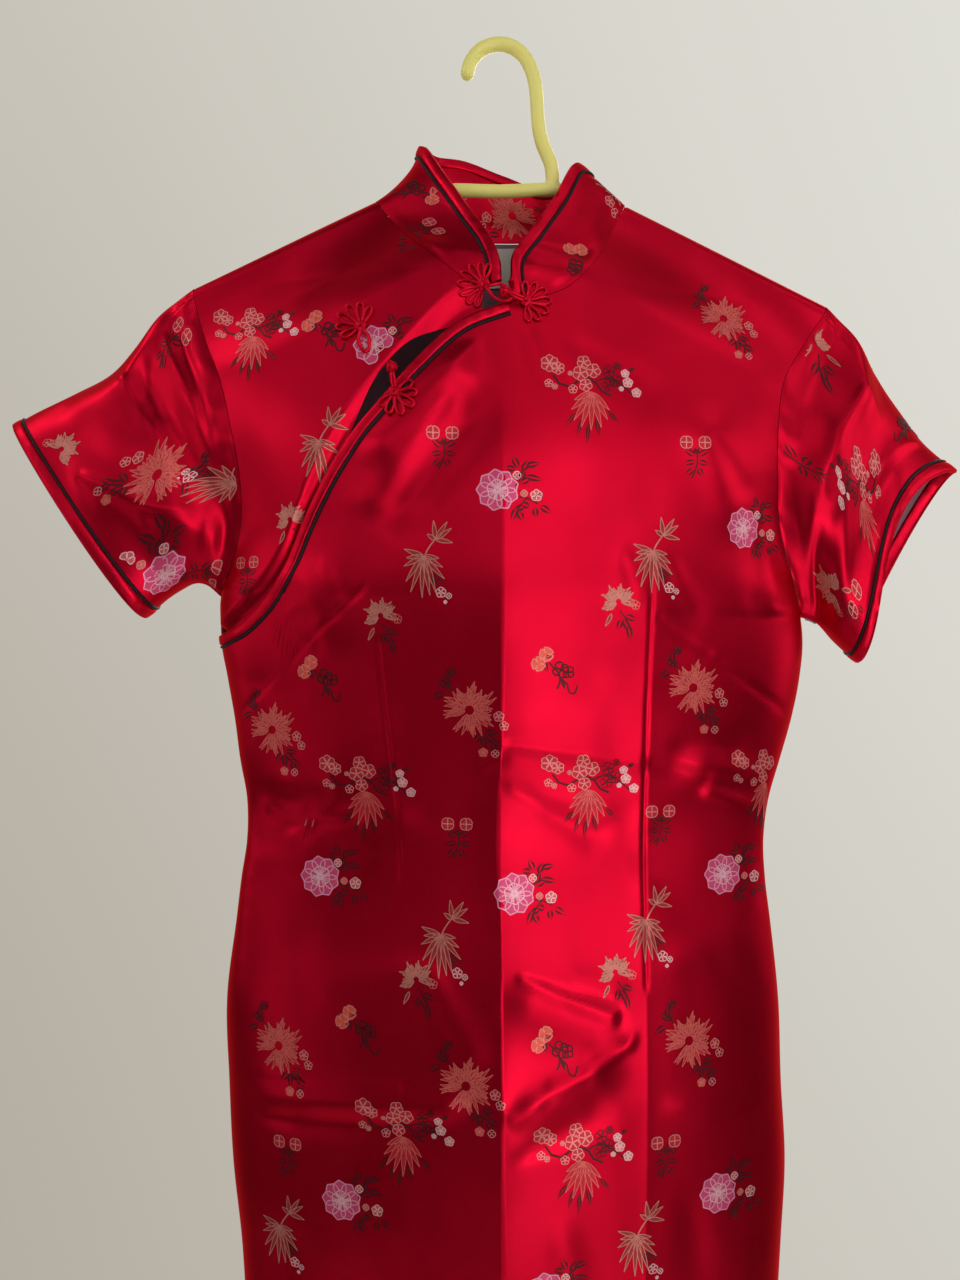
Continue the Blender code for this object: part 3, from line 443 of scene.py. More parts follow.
COLLAR_TOP = [
    # s, x, y, down
    (0, -0.6, -42.5, 159),
    (0.05, -1.4, -42, 147),
    (0.1, -6, -38.5, 133.5),
    (0.17, -18.5, -30.5, 112.5),
    (0.24, -34.5, -18, 85),
    (0.285, -46, -7, 64.5),
    (0.31, -49.5, 0.5, 60.5),
    (0.35, -42, 13.5, 60),
    (0.42, -22, 21.5, 60),
    (0.5, 4, 23.5, 69),
    (0.58, 30, 21.5, 78.5),
    (0.645, 48.5, 14, 77),
    (0.69, 54, 3.5, 73.5),
    (0.73, 47, -6.5, 74),
    (0.79, 34.5, -18, 98.5),
    (0.87, 18.5, -31, 125.5),
    (0.94, 7.5, -39.5, 144),
    (1, 7, -42.5, 160),
]
COLLAR_SIZE = (300, 42)
COLLAR_FOLDS = [
    # s0, h0, s1, h1, height, width
    (0.88, 0.95, 0.84, 0.1, -1.6, 6),
    (0.93, 0.7, 0.9, 0.1, 1.3, 6),
    (0.8, 0.8, 0.78, 0.15, 1.2, 9),
    (0.06, 0.8, 0.12, 0.1, 1, 8),
    (0.2, 0.9, 0.16, 0.2, -0.9, 10),
    (0.42, 0.9, 0.44, 0.1, -1, 10),
    (0.56, 0.9, 0.58, 0.1, 1, 10),
]

LABEL = {"x": 3.0, "width": 30.0, "top": 115.0, "height": 24.0}


def smooth(table, column, at):
    """Reads a column of a table at first-column values, along a smooth curve through its rows."""
    rows = np.array([[row[0], row[column]] for row in table])
    xs, ys = rows[:, 0], rows[:, 1]
    slopes = np.gradient(ys, xs)
    at = np.clip(at, xs[0], xs[-1])
    i = np.clip(np.searchsorted(xs, at, side="right") - 1, 0, len(xs) - 2)
    step = xs[i + 1] - xs[i]
    t = (at - xs[i]) / step
    start = (1 + 2 * t) * (1 - t) ** 2 * ys[i] + t * (1 - t) ** 2 * step * slopes[i]
    end = t * t * (3 - 2 * t) * ys[i + 1] + t * t * (t - 1) * step * slopes[i + 1]
    return start + end


def ramp(value):
    value = np.clip(value, 0.0, 1.0)
    return value * value * (3 - 2 * value)


def paired(a, b):
    return np.broadcast_arrays(np.asarray(a, dtype=float), np.asarray(b, dtype=float))


def unit(vectors):
    length = np.linalg.norm(vectors, axis=-1, keepdims=True)
    return vectors / np.maximum(length, 1e-9)


def ripple(a, b, seed, scale_a, scale_b):
    """Soft lattice noise between about -1 and 1, the same on each run."""
    lattice = np.random.default_rng(seed).uniform(-1.0, 1.0, (64, 64))
    u, v = np.asarray(a) / scale_a + 29.0, np.asarray(b) / scale_b + 17.0
    i, j = np.floor(u).astype(int), np.floor(v).astype(int)
    s, t = ramp(u - i), ramp(v - j)
    near = lattice[i % 64, j % 64] * (1 - t) + lattice[i % 64, (j + 1) % 64] * t
    far = lattice[(i + 1) % 64, j % 64] * (1 - t) + lattice[(i + 1) % 64, (j + 1) % 64] * t
    return near * (1 - s) + far * s


def beside(x, down, run_x, run_down, reach):
    """The distance along a fold, its length, the distance across it and its fade at both ends."""
    length = np.hypot(run_x, run_down)
    along = (x * run_x + down * run_down) / length
    across = (x * run_down - down * run_x) / length
    fade = ramp((along + reach) / (2 * reach)) * ramp((length + reach - along) / (2 * reach))
    return along, length, across, fade


def swell(x, down, run_x, run_down, rise, width, taper):
    """One soft ridge or trough; with taper it widens along its length."""
    along, length, across, fade = beside(x, down, run_x, run_down, width)
    wide = width * (1.0 + taper * (np.clip(along / length, 0.0, 1.0) - 0.5))
    return rise * fade * np.exp(-(across / wide) ** 2)


def ridges(folds, x, down, taper=0.0):
    """Soft ridges and troughs that fade at both ends."""
    height = np.zeros(np.broadcast(x, down).shape)
    for x0, down0, x1, down1, rise, width in folds:
        height = height + swell(x - x0, down - down0, x1 - x0, down1 - down0, rise, width, taper)
    return height


def stitched(darts, x, down):
    """A dart's narrow groove, with a soft pucker beside its stitches."""
    height = np.zeros(np.broadcast(x, down).shape)
    for x0, down0, x1, down1, dip, width in darts:
        along, length, across, fade = beside(x - x0, down - down0, x1 - x0, down1 - down0, STITCH_FADE)
        pucker = 0.22 * ripple(along, across * 0.2, 5, 5.0, 6.0) * np.exp(-(across / PUCKER_REACH) ** 2)
        height = height + fade * (pucker - dip * np.exp(-(across / width) ** 2))
    return height


def by_side(x, table):
    return np.where(x < 0, table["left"], table["right"])


def shoulder_down(x):
    return SHOULDER_PEAK + by_side(x, SHOULDER_FALL) * np.hypot(x, SHOULDER_EASE)


def half_width(x, down):
    return np.where(x < 0, smooth(OUTLINE, 1, down), smooth(OUTLINE, 2, down))


def along_armhole(x, down):
    tip = np.where(x < 0, TIP["left"][1], TIP["right"][1])
    return (down - tip) / (by_side(x, UNDERARM) - tip)


def depth(face, x, down):
    """How far the front or back stands out from the plane of the side seams."""
    x, down = paired(x, down)
    q = np.minimum(np.abs(x) / half_width(x, down), 1.0)
    column = 1 if face == "front" else 2
    full = smooth(FULLNESS, column, down)
    fold = smooth(FULLNESS, column + 2, down)
    arm = along_armhole(x, down)
    edge = ARMHOLE_DEPTH[face] * np.sin(math.pi * np.clip(arm, 0.0, 1.0)) ** 0.8
    at_edge = q ** 8
    open_arm = at_edge * (1.0 - ramp((arm - 0.78) / 0.22)) + (1.0 - at_edge) * (1.0 - ramp(arm))
    section = edge + (full - edge) * (1.0 - q ** fold) ** (0.5 + 0.5 * open_arm)
    below = np.maximum(down - shoulder_down(x), 0.0)
    turn = np.minimum(below / SHOULDER_ROUND, 1.0)
    rolled = SHOULDER_ROUND * np.sqrt(1.0 - (1.0 - turn) ** 2)
    grow = ramp(below / SHOULDER_GROW)
    inside = 1.0 - q ** 6
    folds = FRONT_FOLDS if face == "front" else BACK_FOLDS
    large = ridges(folds, x, down) * grow * inside
    return rolled * (1.0 - grow) + section * grow + large + fine(face, x, down, q, below)


def fine(face, x, down, q, below):
    """Creases, darts and the cloth's slight unevenness."""
    grow = ramp(below / 22.0) * (1.0 - q ** 10)
    front = face == "front"
    creases = ridges(FRONT_CREASES if front else BACK_CREASES, x, down, 0.7)
    sewn = stitched(DARTS if front else BACK_DARTS, x, down)
    uneven = 0.55 * ripple(x, down, 11 if front else 12, 42.0, 70.0)
    uneven = uneven + 0.22 * ripple(x, down, 21 if front else 22, 17.0, 26.0)
    pressed = 0.0
    if front:
        from_crease = np.abs(x - smooth(CENTRE_CREASE, 1, down))
        pressed = CREASE_LIFT * np.exp(-from_crease / CREASE_REACH) * ramp((down - CREASE_TOP) / CREASE_FADE)
        right = ramp((down - DART_TOP) / 60.0)
        left = right * (1.0 - ramp((down - LEFT_DART_LOW) / 22.0))
        for dart, reach in ((RIGHT_DART, right), (LEFT_DART, left)):
            from_dart = np.abs(x - smooth(dart, 1, down))
            pressed = pressed + DART_LIFT * np.exp(-from_dart / DART_REACH) * reach
    seam = 0.5 * ripple(down, x * 0.1, 31, 6.5, 8.0) * np.exp(-((1.0 - q) / 0.05) ** 2)
    return (creases + sewn + uneven + pressed + seam) * grow


def body_point(face, x, down):
    x, down = paired(x, down)
    q = np.abs(x) / half_width(x, down)
    parting = SLIT_PART / 2 * ramp((down - SLIT_TOP) / (HEM_DOWN - SLIT_TOP)) * ramp((q - 0.8) / 0.2)
    out = depth(face, x, down) + SEAM / 2 + parting
    return np.stack([x, -out if face == "front" else out, -down], axis=-1)


def surface_normals(at, a, b, hint):
    """Outward directions of a surface given as a function of two values, by small steps."""
    step = 0.6
    run_a = at(a + step, b) - at(a - step, b)
    run_b = at(a, b + step) - at(a, b - step)
    normals = unit(np.cross(run_a, run_b))
    sign = np.sign(float((normals * hint).sum()))
    return normals * sign


def front_point(x, down):
    return body_point("front", x, down)


def back_point(x, down):
    return body_point("back", x, down)


FORWARD = np.array([0.0, -1.0, 0.0])
BACKWARD = np.array([0.0, 1.0, 0.0])


def lap(x, down):
    """How deep the under piece lies below the front's surface near the opening."""
    edge = smooth(OPENING, 1, x)
    q = np.minimum(np.abs(x) / half_width(x, down), 1.0)
    fade = LAP_FADE * (1.0 - 0.72 * q ** 8)
    return LAP_DEPTH * ramp((fade + down - edge) / (fade * 0.75))


def under_point(x, down):
    normals = surface_normals(front_point, x, down, FORWARD)
    return front_point(x, down) - normals * lap(x, down)[..., None]


def top_of(face, x):
    """The upper edge of the front, the under piece or the back at x."""
    neck = smooth(BACK_NECK if face == "back" else FRONT_NECK, 1, x)
    inside = (NECK_POINT["left"] < x) & (x < NECK_POINT["right"])
    top = np.where(inside, neck, shoulder_down(x))
    if face == "front":
        top = np.where(x < OPENING_X, smooth(OPENING, 1, x), top)
    return top


def eased(count):
    """Even steps from 0 to 1, a little closer together near both ends."""
    t = np.linspace(0.0, 1.0, count + 1)
    return 0.5 * t + 0.5 * (0.5 - 0.5 * np.cos(math.pi * t))


def column_x(u, down):
    """x of a column at a level; columns follow the darts, the centre fold and the side seams."""
    side = np.where(u < 0, smooth(OUTLINE, 1, down), smooth(OUTLINE, 2, down))
    dart = np.where(u < 0, -smooth(LEFT_DART, 1, down), smooth(RIGHT_DART, 1, down))
    a = np.abs(u)
    centre = np.sign(u + 1e-12) * smooth(CENTRE_CREASE, 1, down)
    inner = dart * a / DART_SHARE + centre * (1.0 - a / DART_SHARE)
    outer = dart + (side - dart) * (a - DART_SHARE) / (1.0 - DART_SHARE)
    return np.copysign(np.where(a < DART_SHARE, inner, outer), u)


def panel_places(face, count, rows):
    """x and down of every point of a body panel, columns by rows."""
    knots = [-1.0, -DART_SHARE, 0.0, DART_SHARE, 1.0]
    u = np.concatenate([knots[k] + (knots[k + 1] - knots[k]) * eased(count)[:-1] for k in range(4)] + [[1.0]])
    if face == "under":
        u = -1.0 + (1.0 + UNDER_END) * np.linspace(0.0, 1.0, 2 * count + 1)
    top = np.full(u.shape, 160.0)
    for _ in range(60):
        top = 0.5 * top + 0.5 * top_of(face, column_x(u, top))
    low = np.full(u.shape, HEM_DOWN)
    if face == "under":
        low = smooth(UNDER_EDGE, 1, column_x(u, top))
        for _ in range(20):
            low = smooth(UNDER_EDGE, 1, column_x(u, low))
    share = np.linspace(0.0, 1.0, rows + 1)[None, :]
    if face != "under":
        share = share ** 1.1
    down = top[:, None] + (low - top)[:, None] * share
    return column_x(u[:, None], down), down


def add_mesh(name, verts, faces, finishes, indices=None, angle=48.0):
    mesh = bpy.data.meshes.new(name)
    mesh.from_pydata((np.asarray(verts) * MM).tolist(), [], faces)
    for finish in finishes:
        mesh.materials.append(finish)
    if indices is not None:
        mesh.polygons.foreach_set("material_index", indices)
    mesh.shade_smooth()
    mesh.set_sharp_from_angle(angle=math.radians(angle))
    obj = bpy.data.objects.new(name, mesh)
    bpy.context.collection.objects.link(obj)
    return obj


def grid_faces(n, m, start=0, closed=False):
    faces = []
    for i in range(n if closed else n - 1):
        k = (i + 1) % n
        for j in range(m - 1):
            faces.append((start + i * m + j, start + k * m + j, start + k * m + j + 1, start + i * m + j + 1))
    return faces


def cloth_shell(name, outer, normals, wall, finishes, closed=False):
    """A thin wall: a fine grid outside, and every second column and row of it inside."""
    n, m = outer.shape[:2]
    inner = (outer - normals * np.broadcast_to(wall, (n, m))[..., None])[::2, ::2]
    ni, mi = inner.shape[:2]
    far = n * m
    verts = np.concatenate([outer.reshape(-1, 3), inner.reshape(-1, 3)])
    outside = grid_faces(n, m, 0, closed)
    inside = [face[::-1] for face in grid_faces(ni, mi, far, closed)]
    rim = []
    for j, row in ((0, 0), (m - 1, mi - 1)):
        for i in range(ni if closed else ni - 1):
            a, b, c = 2 * i * m + j, (2 * i + 1) * m + j, (2 * i + 2) % n * m + j
            d, e = far + (i + 1) % ni * mi + row, far + i * mi + row
            rim.append((a, e, d, c, b) if j == 0 else (a, b, c, d, e))
    if not closed:
        for i, column in ((0, 0), (n - 1, ni - 1)):
            for j in range(mi - 1):
                a, b, c = i * m + 2 * j, i * m + 2 * j + 1, i * m + 2 * j + 2
                d, e = far + column * mi + j + 1, far + column * mi + j
                rim.append((a, b, c, d, e) if i == 0 else (a, e, d, c, b))
    faces = outside + inside + rim
    middle = (n // 2, m // 2)
    along = outer[middle[0] + 1, middle[1]] - outer[middle]
    down = outer[middle[0], middle[1] + 1] - outer[middle]
    if float(np.dot(np.cross(along, down), normals[middle])) < 0:
        faces = [face[::-1] for face in faces]
    indices = [0] * len(outside) + [1] * len(inside) + [0] * len(rim)
    return add_mesh(name, verts, faces, finishes, indices)


def sweep(name, sections, finish, closed=False, angle=48.0):
    """One closed solid through section loops, capped at its ends or joined in a ring."""
    sections = np.asarray(sections)
    count, size = sections.shape[:2]
    faces = []
    for i in range(count if closed else count - 1):
        k = (i + 1) % count
        for j in range(size):
            h = (j + 1) % size
            faces.append((i * size + j, i * size + h, k * size + h, k * size + j))
    if not closed:
        faces.append(tuple(range(size - 1, -1, -1)))
        faces.append(tuple((count - 1) * size + j for j in range(size)))
    middle = count // 2
    hub = sections[middle].mean(axis=0)
    first, second = sections[middle, 0], sections[middle, 1]
    ahead = sections[(middle + 1) % count, 0]
    facing = np.cross(second - first, ahead - first)
    if float(np.dot(facing, (first + second) / 2 - hub)) < 0:
        faces = [face[::-1] for face in faces]
    return add_mesh(name, sections.reshape(-1, 3), faces, [finish], None, angle)


def tube(name, path, radius, finish, closed=False, sides=10):
    """A round tube along a path."""
    path = np.asarray(path, dtype=float)
    radii = np.broadcast_to(np.asarray(radius, dtype=float), (len(path),))
    if closed:
        runs = unit(np.roll(path, -1, axis=0) - np.roll(path, 1, axis=0))
    else:
        runs = unit(np.gradient(path, axis=0))
    across = unit(np.cross(runs, FORWARD))
    ahead = np.cross(across, runs)
    angles = 2 * math.pi * np.arange(sides) / sides
    cos, sin = np.cos(angles)[None, :, None], np.sin(angles)[None, :, None]
    ring = cos * across[:, None] + sin * ahead[:, None]
    return sweep(name, path[:, None] + ring * radii[:, None, None], finish, closed)


def resample(points, count, closed=False):
    """Points at even steps along a smooth curve through the given ones."""
    points = np.asarray(points, dtype=float)
    if closed:
        points = np.concatenate([points, points[:1]])
    steps = np.concatenate([[0.0], np.cumsum(np.linalg.norm(np.diff(points, axis=0), axis=1))])
    columns = []
    for axis in range(points.shape[1]):
        table = list(zip(steps, points[:, axis]))
        columns.append(smooth(table, 1, np.linspace(0.0, steps[-1], count + (1 if closed else 0))))
    path = np.stack(columns, axis=-1)
    return path[:-1] if closed else path


# Finishes
def noise_node(nodes, links, coords, scale, detail=3.0, stretch=(1.0, 1.0, 1.0)):
    mapping = nodes.new("ShaderNodeMapping")
    mapping.inputs["Scale"].default_value = stretch
    links.new(coords.outputs["Object"], mapping.inputs["Vector"])
    texture = nodes.new("ShaderNodeTexNoise")
    texture.inputs["Scale"].default_value = scale
    texture.inputs["Detail"].default_value = detail
    links.new(mapping.outputs["Vector"], texture.inputs["Vector"])
    return texture


def math_node(nodes, links, operation, *values):
    """A Math node; each value is a number or another node's output."""
    node = nodes.new("ShaderNodeMath")
    node.operation = operation
    for socket, value in zip(node.inputs, values):
        if isinstance(value, float):
            socket.default_value = value
        else:
            links.new(value, socket)
    return node.outputs["Value"]


def make_finish(name, light, dark, roughness, metallic=0.0, weave=0.1, weave_scale=900.0,
                stretch=(1.0, 1.0, 4.0), patch_scale=22.0, extra=None):
    """A procedural material: colour varies softly, and a fine weave lies in its roughness and bump."""
    made = bpy.data.materials.new(name)
    made.use_nodes = True
    nodes, links = made.node_tree.nodes, made.node_tree.links
    shader = nodes["Principled BSDF"]
    coords = nodes.new("ShaderNodeTexCoord")
    patches = noise_node(nodes, links, coords, patch_scale)
    threads = noise_node(nodes, links, coords, weave_scale, 2.0, stretch)
    blend = math_node(nodes, links, "MULTIPLY_ADD", threads.outputs["Fac"], 0.45, patches.outputs["Fac"])
    colours = nodes.new("ShaderNodeValToRGB")
    colours.color_ramp.elements[0].position = 0.42
    colours.color_ramp.elements[0].color = (*dark, 1.0)
    colours.color_ramp.elements[1].position = 1.0
    colours.color_ramp.elements[1].color = (*light, 1.0)
    links.new(blend, colours.inputs["Fac"])
    links.new(colours.outputs["Color"], shader.inputs["Base Color"])
    rough = nodes.new("ShaderNodeMapRange")
    rough.inputs["To Min"].default_value = roughness - 0.05
    rough.inputs["To Max"].default_value = roughness + 0.06
    links.new(threads.outputs["Fac"], rough.inputs["Value"])
    links.new(rough.outputs["Result"], shader.inputs["Roughness"])
    bump = nodes.new("ShaderNodeBump")
    bump.inputs["Strength"].default_value = weave
    bump.inputs["Distance"].default_value = 0.0003
    links.new(threads.outputs["Fac"], bump.inputs["Height"])
    links.new(bump.outputs["Normal"], shader.inputs["Normal"])
    shader.inputs["Metallic"].default_value = metallic
    for socket, value in (extra or {}).items():
        shader.inputs[socket].default_value = value
    made.diffuse_color = (*light, 1.0)
    return made


SATIN = make_finish("red_satin", (0.64, 0.0025, 0.026), (0.50, 0.0012, 0.018), 0.35, 0.88, 0.12, 700.0,
                    (1.0, 1.0, 5.0), 16.0, {"Anisotropic": 0.3, "Specular Tint": (1.0, 0.25, 0.3, 1.0)})
REVERSE = make_finish("cloth_reverse", (0.34, 0.17, 0.21), (0.22, 0.08, 0.12), 0.62, 0.0, 0.3, 600.0)
BAND = make_finish("binding_satin", (0.72, 0.004, 0.03), (0.52, 0.0015, 0.018), 0.36, 0.88, 0.12, 800.0,
                   (1.0, 1.0, 1.0), 60.0, {"Specular Tint": (1.0, 0.3, 0.35, 1.0)})
BLACK = make_finish("black_piping", (0.016, 0.004, 0.010), (0.008, 0.002, 0.005), 0.5, 0.0, 0.4, 900.0,
                    (1.0, 1.0, 1.0), 200.0, {"Specular IOR Level": 0.22})
CORD = make_finish("frog_cord", (0.78, 0.006, 0.034), (0.54, 0.002, 0.02), 0.36, 0.8, 0.3, 1100.0,
                   (1.0, 1.0, 1.0), 120.0, {"Specular Tint": (1.0, 0.35, 0.4, 1.0)})
MOULDED = {"Subsurface Weight": 0.12, "Subsurface Radius": (0.004, 0.003, 0.001)}
PLASTIC = make_finish("yellow_plastic", (1.0, 0.93, 0.28), (0.97, 0.86, 0.22), 0.34, 0.0, 0.04, 240.0,
                      (1.0, 1.0, 1.0), 30.0, MOULDED)
WHITE = make_finish("label_cloth", (0.95, 0.91, 0.80), (0.88, 0.83, 0.70), 0.8, 0.0, 0.5, 1500.0,
                    (1.0, 1.0, 1.0), 80.0)


def settle(piece, nodes=()):
    """Every piece rides on the only body, and the solids that it stands for are hidden."""
    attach(piece, "root")
    if nodes:
        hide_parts(*nodes)
    return piece


# Body panels
def make_panel(name, node, point, face, count, rows, hint):
    x, down = panel_places(face, count, rows)
    outer = point(x, down)
    normals = surface_normals(point, x, down, hint)
    side = np.abs(x) >= half_width(x, down) - 0.01
    side &= down > by_side(x, UNDERARM)
    normals[side, 1] = 0.0
    normals = unit(normals)
    hem = ramp((down - HEM_DOWN + HEM_TURN) / 2.0) * HEM_EXTRA
    return settle(cloth_shell(name, outer, normals, CLOTH + hem, [SATIN, REVERSE]), [node])


front = make_panel("front_cloth", "front", front_point, "front", 54, 340, FORWARD)
back = make_panel("back_cloth", "back", back_point, "back", 48, 300, BACKWARD)
under = make_panel("under_front_cloth", "under_front", under_point, "under", 60, 130, FORWARD)


# Sleeves
def sleeve_ring(side, t, around):
    """A point of the plain sleeve: a flattened ring between its upper and lower folds."""
    table = SLEEVES[side]
    top = np.stack([smooth(table, 1, t), np.zeros_like(t), -smooth(table, 2, t)], axis=-1)
    low = np.stack([smooth(table, 3, t), np.zeros_like(t), -smooth(table, 4, t)], axis=-1)
    half = smooth(table, 5, t)
    cos, sin = np.cos(2 * math.pi * around), np.sin(2 * math.pi * around)
    point = (top + low) / 2 + (top - low) / 2 * cos[..., None]
    point[..., 1] = -half * np.copysign(np.abs(sin) ** 0.85, sin)
    outward = -1.0 if side == "left" else 1.0
    pulled = outward * SLEEVE_PULL[side] * t * t * np.maximum(sin, 0.0) * (0.6 + 0.5 * cos)
    point[..., 0] -= pulled
    return point


def armhole_point(side, around):
    """The body's armhole, seen from the sleeve; around is 0 at the shoulder and 0.5 at the underarm."""
    sign = -1.0 if side == "left" else 1.0
    level = 2 * np.minimum(around, 1.0 - around)
    share = np.interp(level, np.linspace(0.0, 1.0, len(ARM_LEVELS)), ARM_LEVELS)
    down = TIP[side][1] + share * (UNDERARM[side] - TIP[side][1])
    x = sign * half_width(np.full_like(down, sign), down)
    ahead = around <= 0.5
    point = np.where(ahead[..., None], body_point("front", x, down), body_point("back", x, down))
    point[..., 0] += sign * SEAM * 1.2
    closing = ramp(level / 0.06) * ramp((1.0 - level) / 0.06)
    point[..., 1] *= closing
    return point


def sleeve_lengths(side, around):
    zeros, ones = np.zeros_like(around), np.ones_like(around)
    return np.linalg.norm(sleeve_ring(side, ones, around) - sleeve_ring(side, zeros, around), axis=-1)


def sleeve_point(side, around, t):
    around, t = paired(around, t)
    around = around % 1.0
    point = sleeve_ring(side, t, around)
    first = sleeve_ring(side, np.zeros_like(t), around)
    point = point + (armhole_point(side, around) - first) * ((1.0 - t) ** 2)[..., None]
    length = sleeve_lengths(side, around)
    girth = 2 * length
    lift = np.zeros_like(t)
    for folds, taper in ((SLEEVE_FOLDS[side], 0.0), (SLEEVE_CREASES[side], 0.7)):
        for a0, t0, a1, t1, rise, width in folds:
            lift = lift + swell((around - a0) * girth, (t - t0) * length, (a1 - a0) * girth,
                                (t1 - t0) * length, rise, width, taper)
    ends = ramp(t / 0.12) * ramp((1.0 - t) / 0.2)
    along = around * SLEEVE_GIRTH
    uneven = 0.6 * ripple(along, t * 100.0, 41, 30.0, 22.0) * ramp(t / 0.2) * ramp((1.0 - t) / 0.1)
    seam = 0.5 * ripple(along, t * 20.0, 42, 7.0, 8.0) * np.exp(-(t / 0.1) ** 2) * ramp(t / 0.02)
    flat_edge = ramp(np.abs(np.sin(2 * math.pi * around)) / 0.25)
    lift = (lift * ends + (uneven + seam) * flat_edge)
    point[..., 1] += lift * np.where(around <= 0.5, -1.0, 1.0)
    return point


def sleeve_normals(side, around, t):
    """Directions away from the sleeve's middle."""
    run_a = sleeve_point(side, around + 0.002, t) - sleeve_point(side, around - 0.002, t)
    low, high = np.maximum(t - 0.006, 0.0), np.minimum(t + 0.006, 1.0)
    run_t = sleeve_point(side, around, high) - sleeve_point(side, around, low)
    normals = unit(np.cross(run_a, run_t))
    middle = (sleeve_point(side, np.zeros_like(t), t) + sleeve_point(side, np.full_like(t, 0.5), t)) / 2
    away = sleeve_point(side, around, t) - middle
    return normals * np.sign(float((away * normals).sum()))


def make_sleeve(side, wearer):
    around = (np.arange(240) / 240)[:, None]
    t = np.linspace(0.0, 1.0, 91)[None, :]
    around, t = np.broadcast_arrays(around, t)
    outer = sleeve_point(side, around, t)
    normals = sleeve_normals(side, around, t)
    piece = cloth_shell(f"sleeve_{wearer}_cloth", outer, normals, CLOTH, [SATIN, REVERSE], closed=True)
    return settle(piece, [f"sleeve_{wearer}"])


sleeve_right = make_sleeve("left", "right")
sleeve_left = make_sleeve("right", "left")


# Collar
NECK_TURN = 0.6
COLLAR_LEFT_END = -12.2


def neck_base():
    """The neck's edge from the left front end round the back to the right front end."""
    left, right = NECK_POINT["left"] + NECK_TURN, NECK_POINT["right"] - NECK_TURN
    parts = []
    for point, face, start, end, count in (
        (under_point, "under", COLLAR_LEFT_END, left, 90),
        (back_point, "back", left, right, 150),
        (front_point, "front", right, OPENING_X, 90),
    ):
        x = np.linspace(start, end, count)
        down = smooth(BACK_NECK if face == "back" else FRONT_NECK, 1, x)
        edge = point(x, down)
        parts.append((edge, unit(edge - point(x, down + 1.5))))
    edge = np.concatenate([part[0] for part in parts])
    away = np.concatenate([part[1] for part in parts])
    kernel = np.ones(13) / 13
    padded = np.pad(away, ((6, 6), (0, 0)), mode="edge")
    away = unit(np.stack([np.convolve(padded[:, k], kernel, mode="valid") for k in range(3)], axis=-1))
    base = edge + away * SEAM * 1.3
    return resample(base[::3], 300)


COLLAR_BASE = neck_base()
COLLAR_STEPS = np.linspace(0.0, 1.0, len(COLLAR_BASE))


def collar_point(s, h):
    """s runs along the collar and h up it, each from 0 to 1."""
    s, h = paired(s, h)
    base = np.stack([np.interp(s, COLLAR_STEPS, COLLAR_BASE[:, k]) for k in range(3)], axis=-1)
    top = np.stack([smooth(COLLAR_TOP, 1, s), smooth(COLLAR_TOP, 2, s), -smooth(COLLAR_TOP, 3, s)], axis=-1)
    return base + (top - base) * h[..., None]


def collar_normals(s, h):
    low, high = np.maximum(s - 0.004, 0.0), np.minimum(s + 0.004, 1.0)
    run_s = collar_point(high, h) - collar_point(low, h)
    run_h = collar_point(s, h + 0.02) - collar_point(s, h - 0.02)
    normals = unit(np.cross(run_s, run_h))
    point = collar_point(s, h)
    away = point - np.array([0.0, -8.0, 0.0])
    away[..., 2] = 0.0
    return normals * np.sign(float((away * normals).sum()))


def collar_face(s, h):
    """The collar's outer side, with its soft dents."""
    s, h = paired(s, h)
    long, tall = COLLAR_SIZE
    folds = [(a * long, b * tall, c * long, d * tall, e, f) for a, b, c, d, e, f in COLLAR_FOLDS]
    lift = ridges(folds, s * long, h * tall, 0.4)
    lift = lift + 0.3 * ripple(s * long, h * tall, 51, 24.0, 18.0)
    lift = lift * ramp(h / 0.2) * ramp((1.0 - h) / 0.25)
    return collar_point(s, h) + collar_normals(s, h) * lift[..., None]


def make_collar():
    s, h = np.broadcast_arrays(np.linspace(0.0, 1.0, 361)[:, None], np.linspace(0.0, 1.0, 33)[None, :])
    outer = collar_face(s, h)
    piece = cloth_shell("collar_cloth", outer, collar_normals(s, h), COLLAR_WALL, [SATIN, SATIN])
    return settle(piece, ["collar"])


collar = make_collar()


# Bands and piping at the finished edges
BAND_PROFILE = [
    # inside (from the edge), lift (over the cloth)
    (1.0, 0.15),
    (0.97, 0.75),
    (0.82, 1.05),
    (0.5, 1.15),
    (0.2, 1.1),
    (0.0, 0.95),
]


def make_band(name, node, edge, width, wall, closed=False):
    """A folded strip round an edge. edge(d) gives points and outward directions d inside the edge."""
    points0, normals0 = edge(0.0)
    inside = edge(1.0)[0]
    away = unit(points0 - inside)
    count = len(points0)
    pucker = 1.0 + 0.14 * ripple(np.arange(count) * 1.0, np.zeros(count), 61, 5.0, 5.0)
    outer, under_side = [], []
    for share, lift in BAND_PROFILE:
        points, normals = edge(width * share)
        rise = (lift * pucker * BAND_RISE)[:, None]
        past = away * (BAND_PAST_EDGE if share == 0.0 else 0.0)
        outer.append(points + normals * rise + past)
        under_side.append(points - normals * (wall + rise) + past)
    nose = [points0 - normals0 * wall / 2 + away * BAND_RISE]
    points1, normals1 = edge(width)
    inner = away * BAND_INSIDE_EDGE
    hidden = [points1 - normals1 * (wall + BAND_TUCK), points0 - normals0 * (wall + BAND_TUCK) + inner,
              points0 + normals0 * BAND_TUCK + inner, points1 + normals1 * BAND_TUCK]
    loop = outer + nose + under_side[::-1] + hidden
    sections = np.stack(loop, axis=1)
    return settle(sweep(name, sections, BAND, closed, 60.0), [node])


PIPING_PROFILE = [
    # across, lift
    (0, 0.1), (0.06, 0.62), (0.25, 0.95), (0.5, 1), (0.75, 0.95), (0.94, 0.62), (1, 0.1),
]


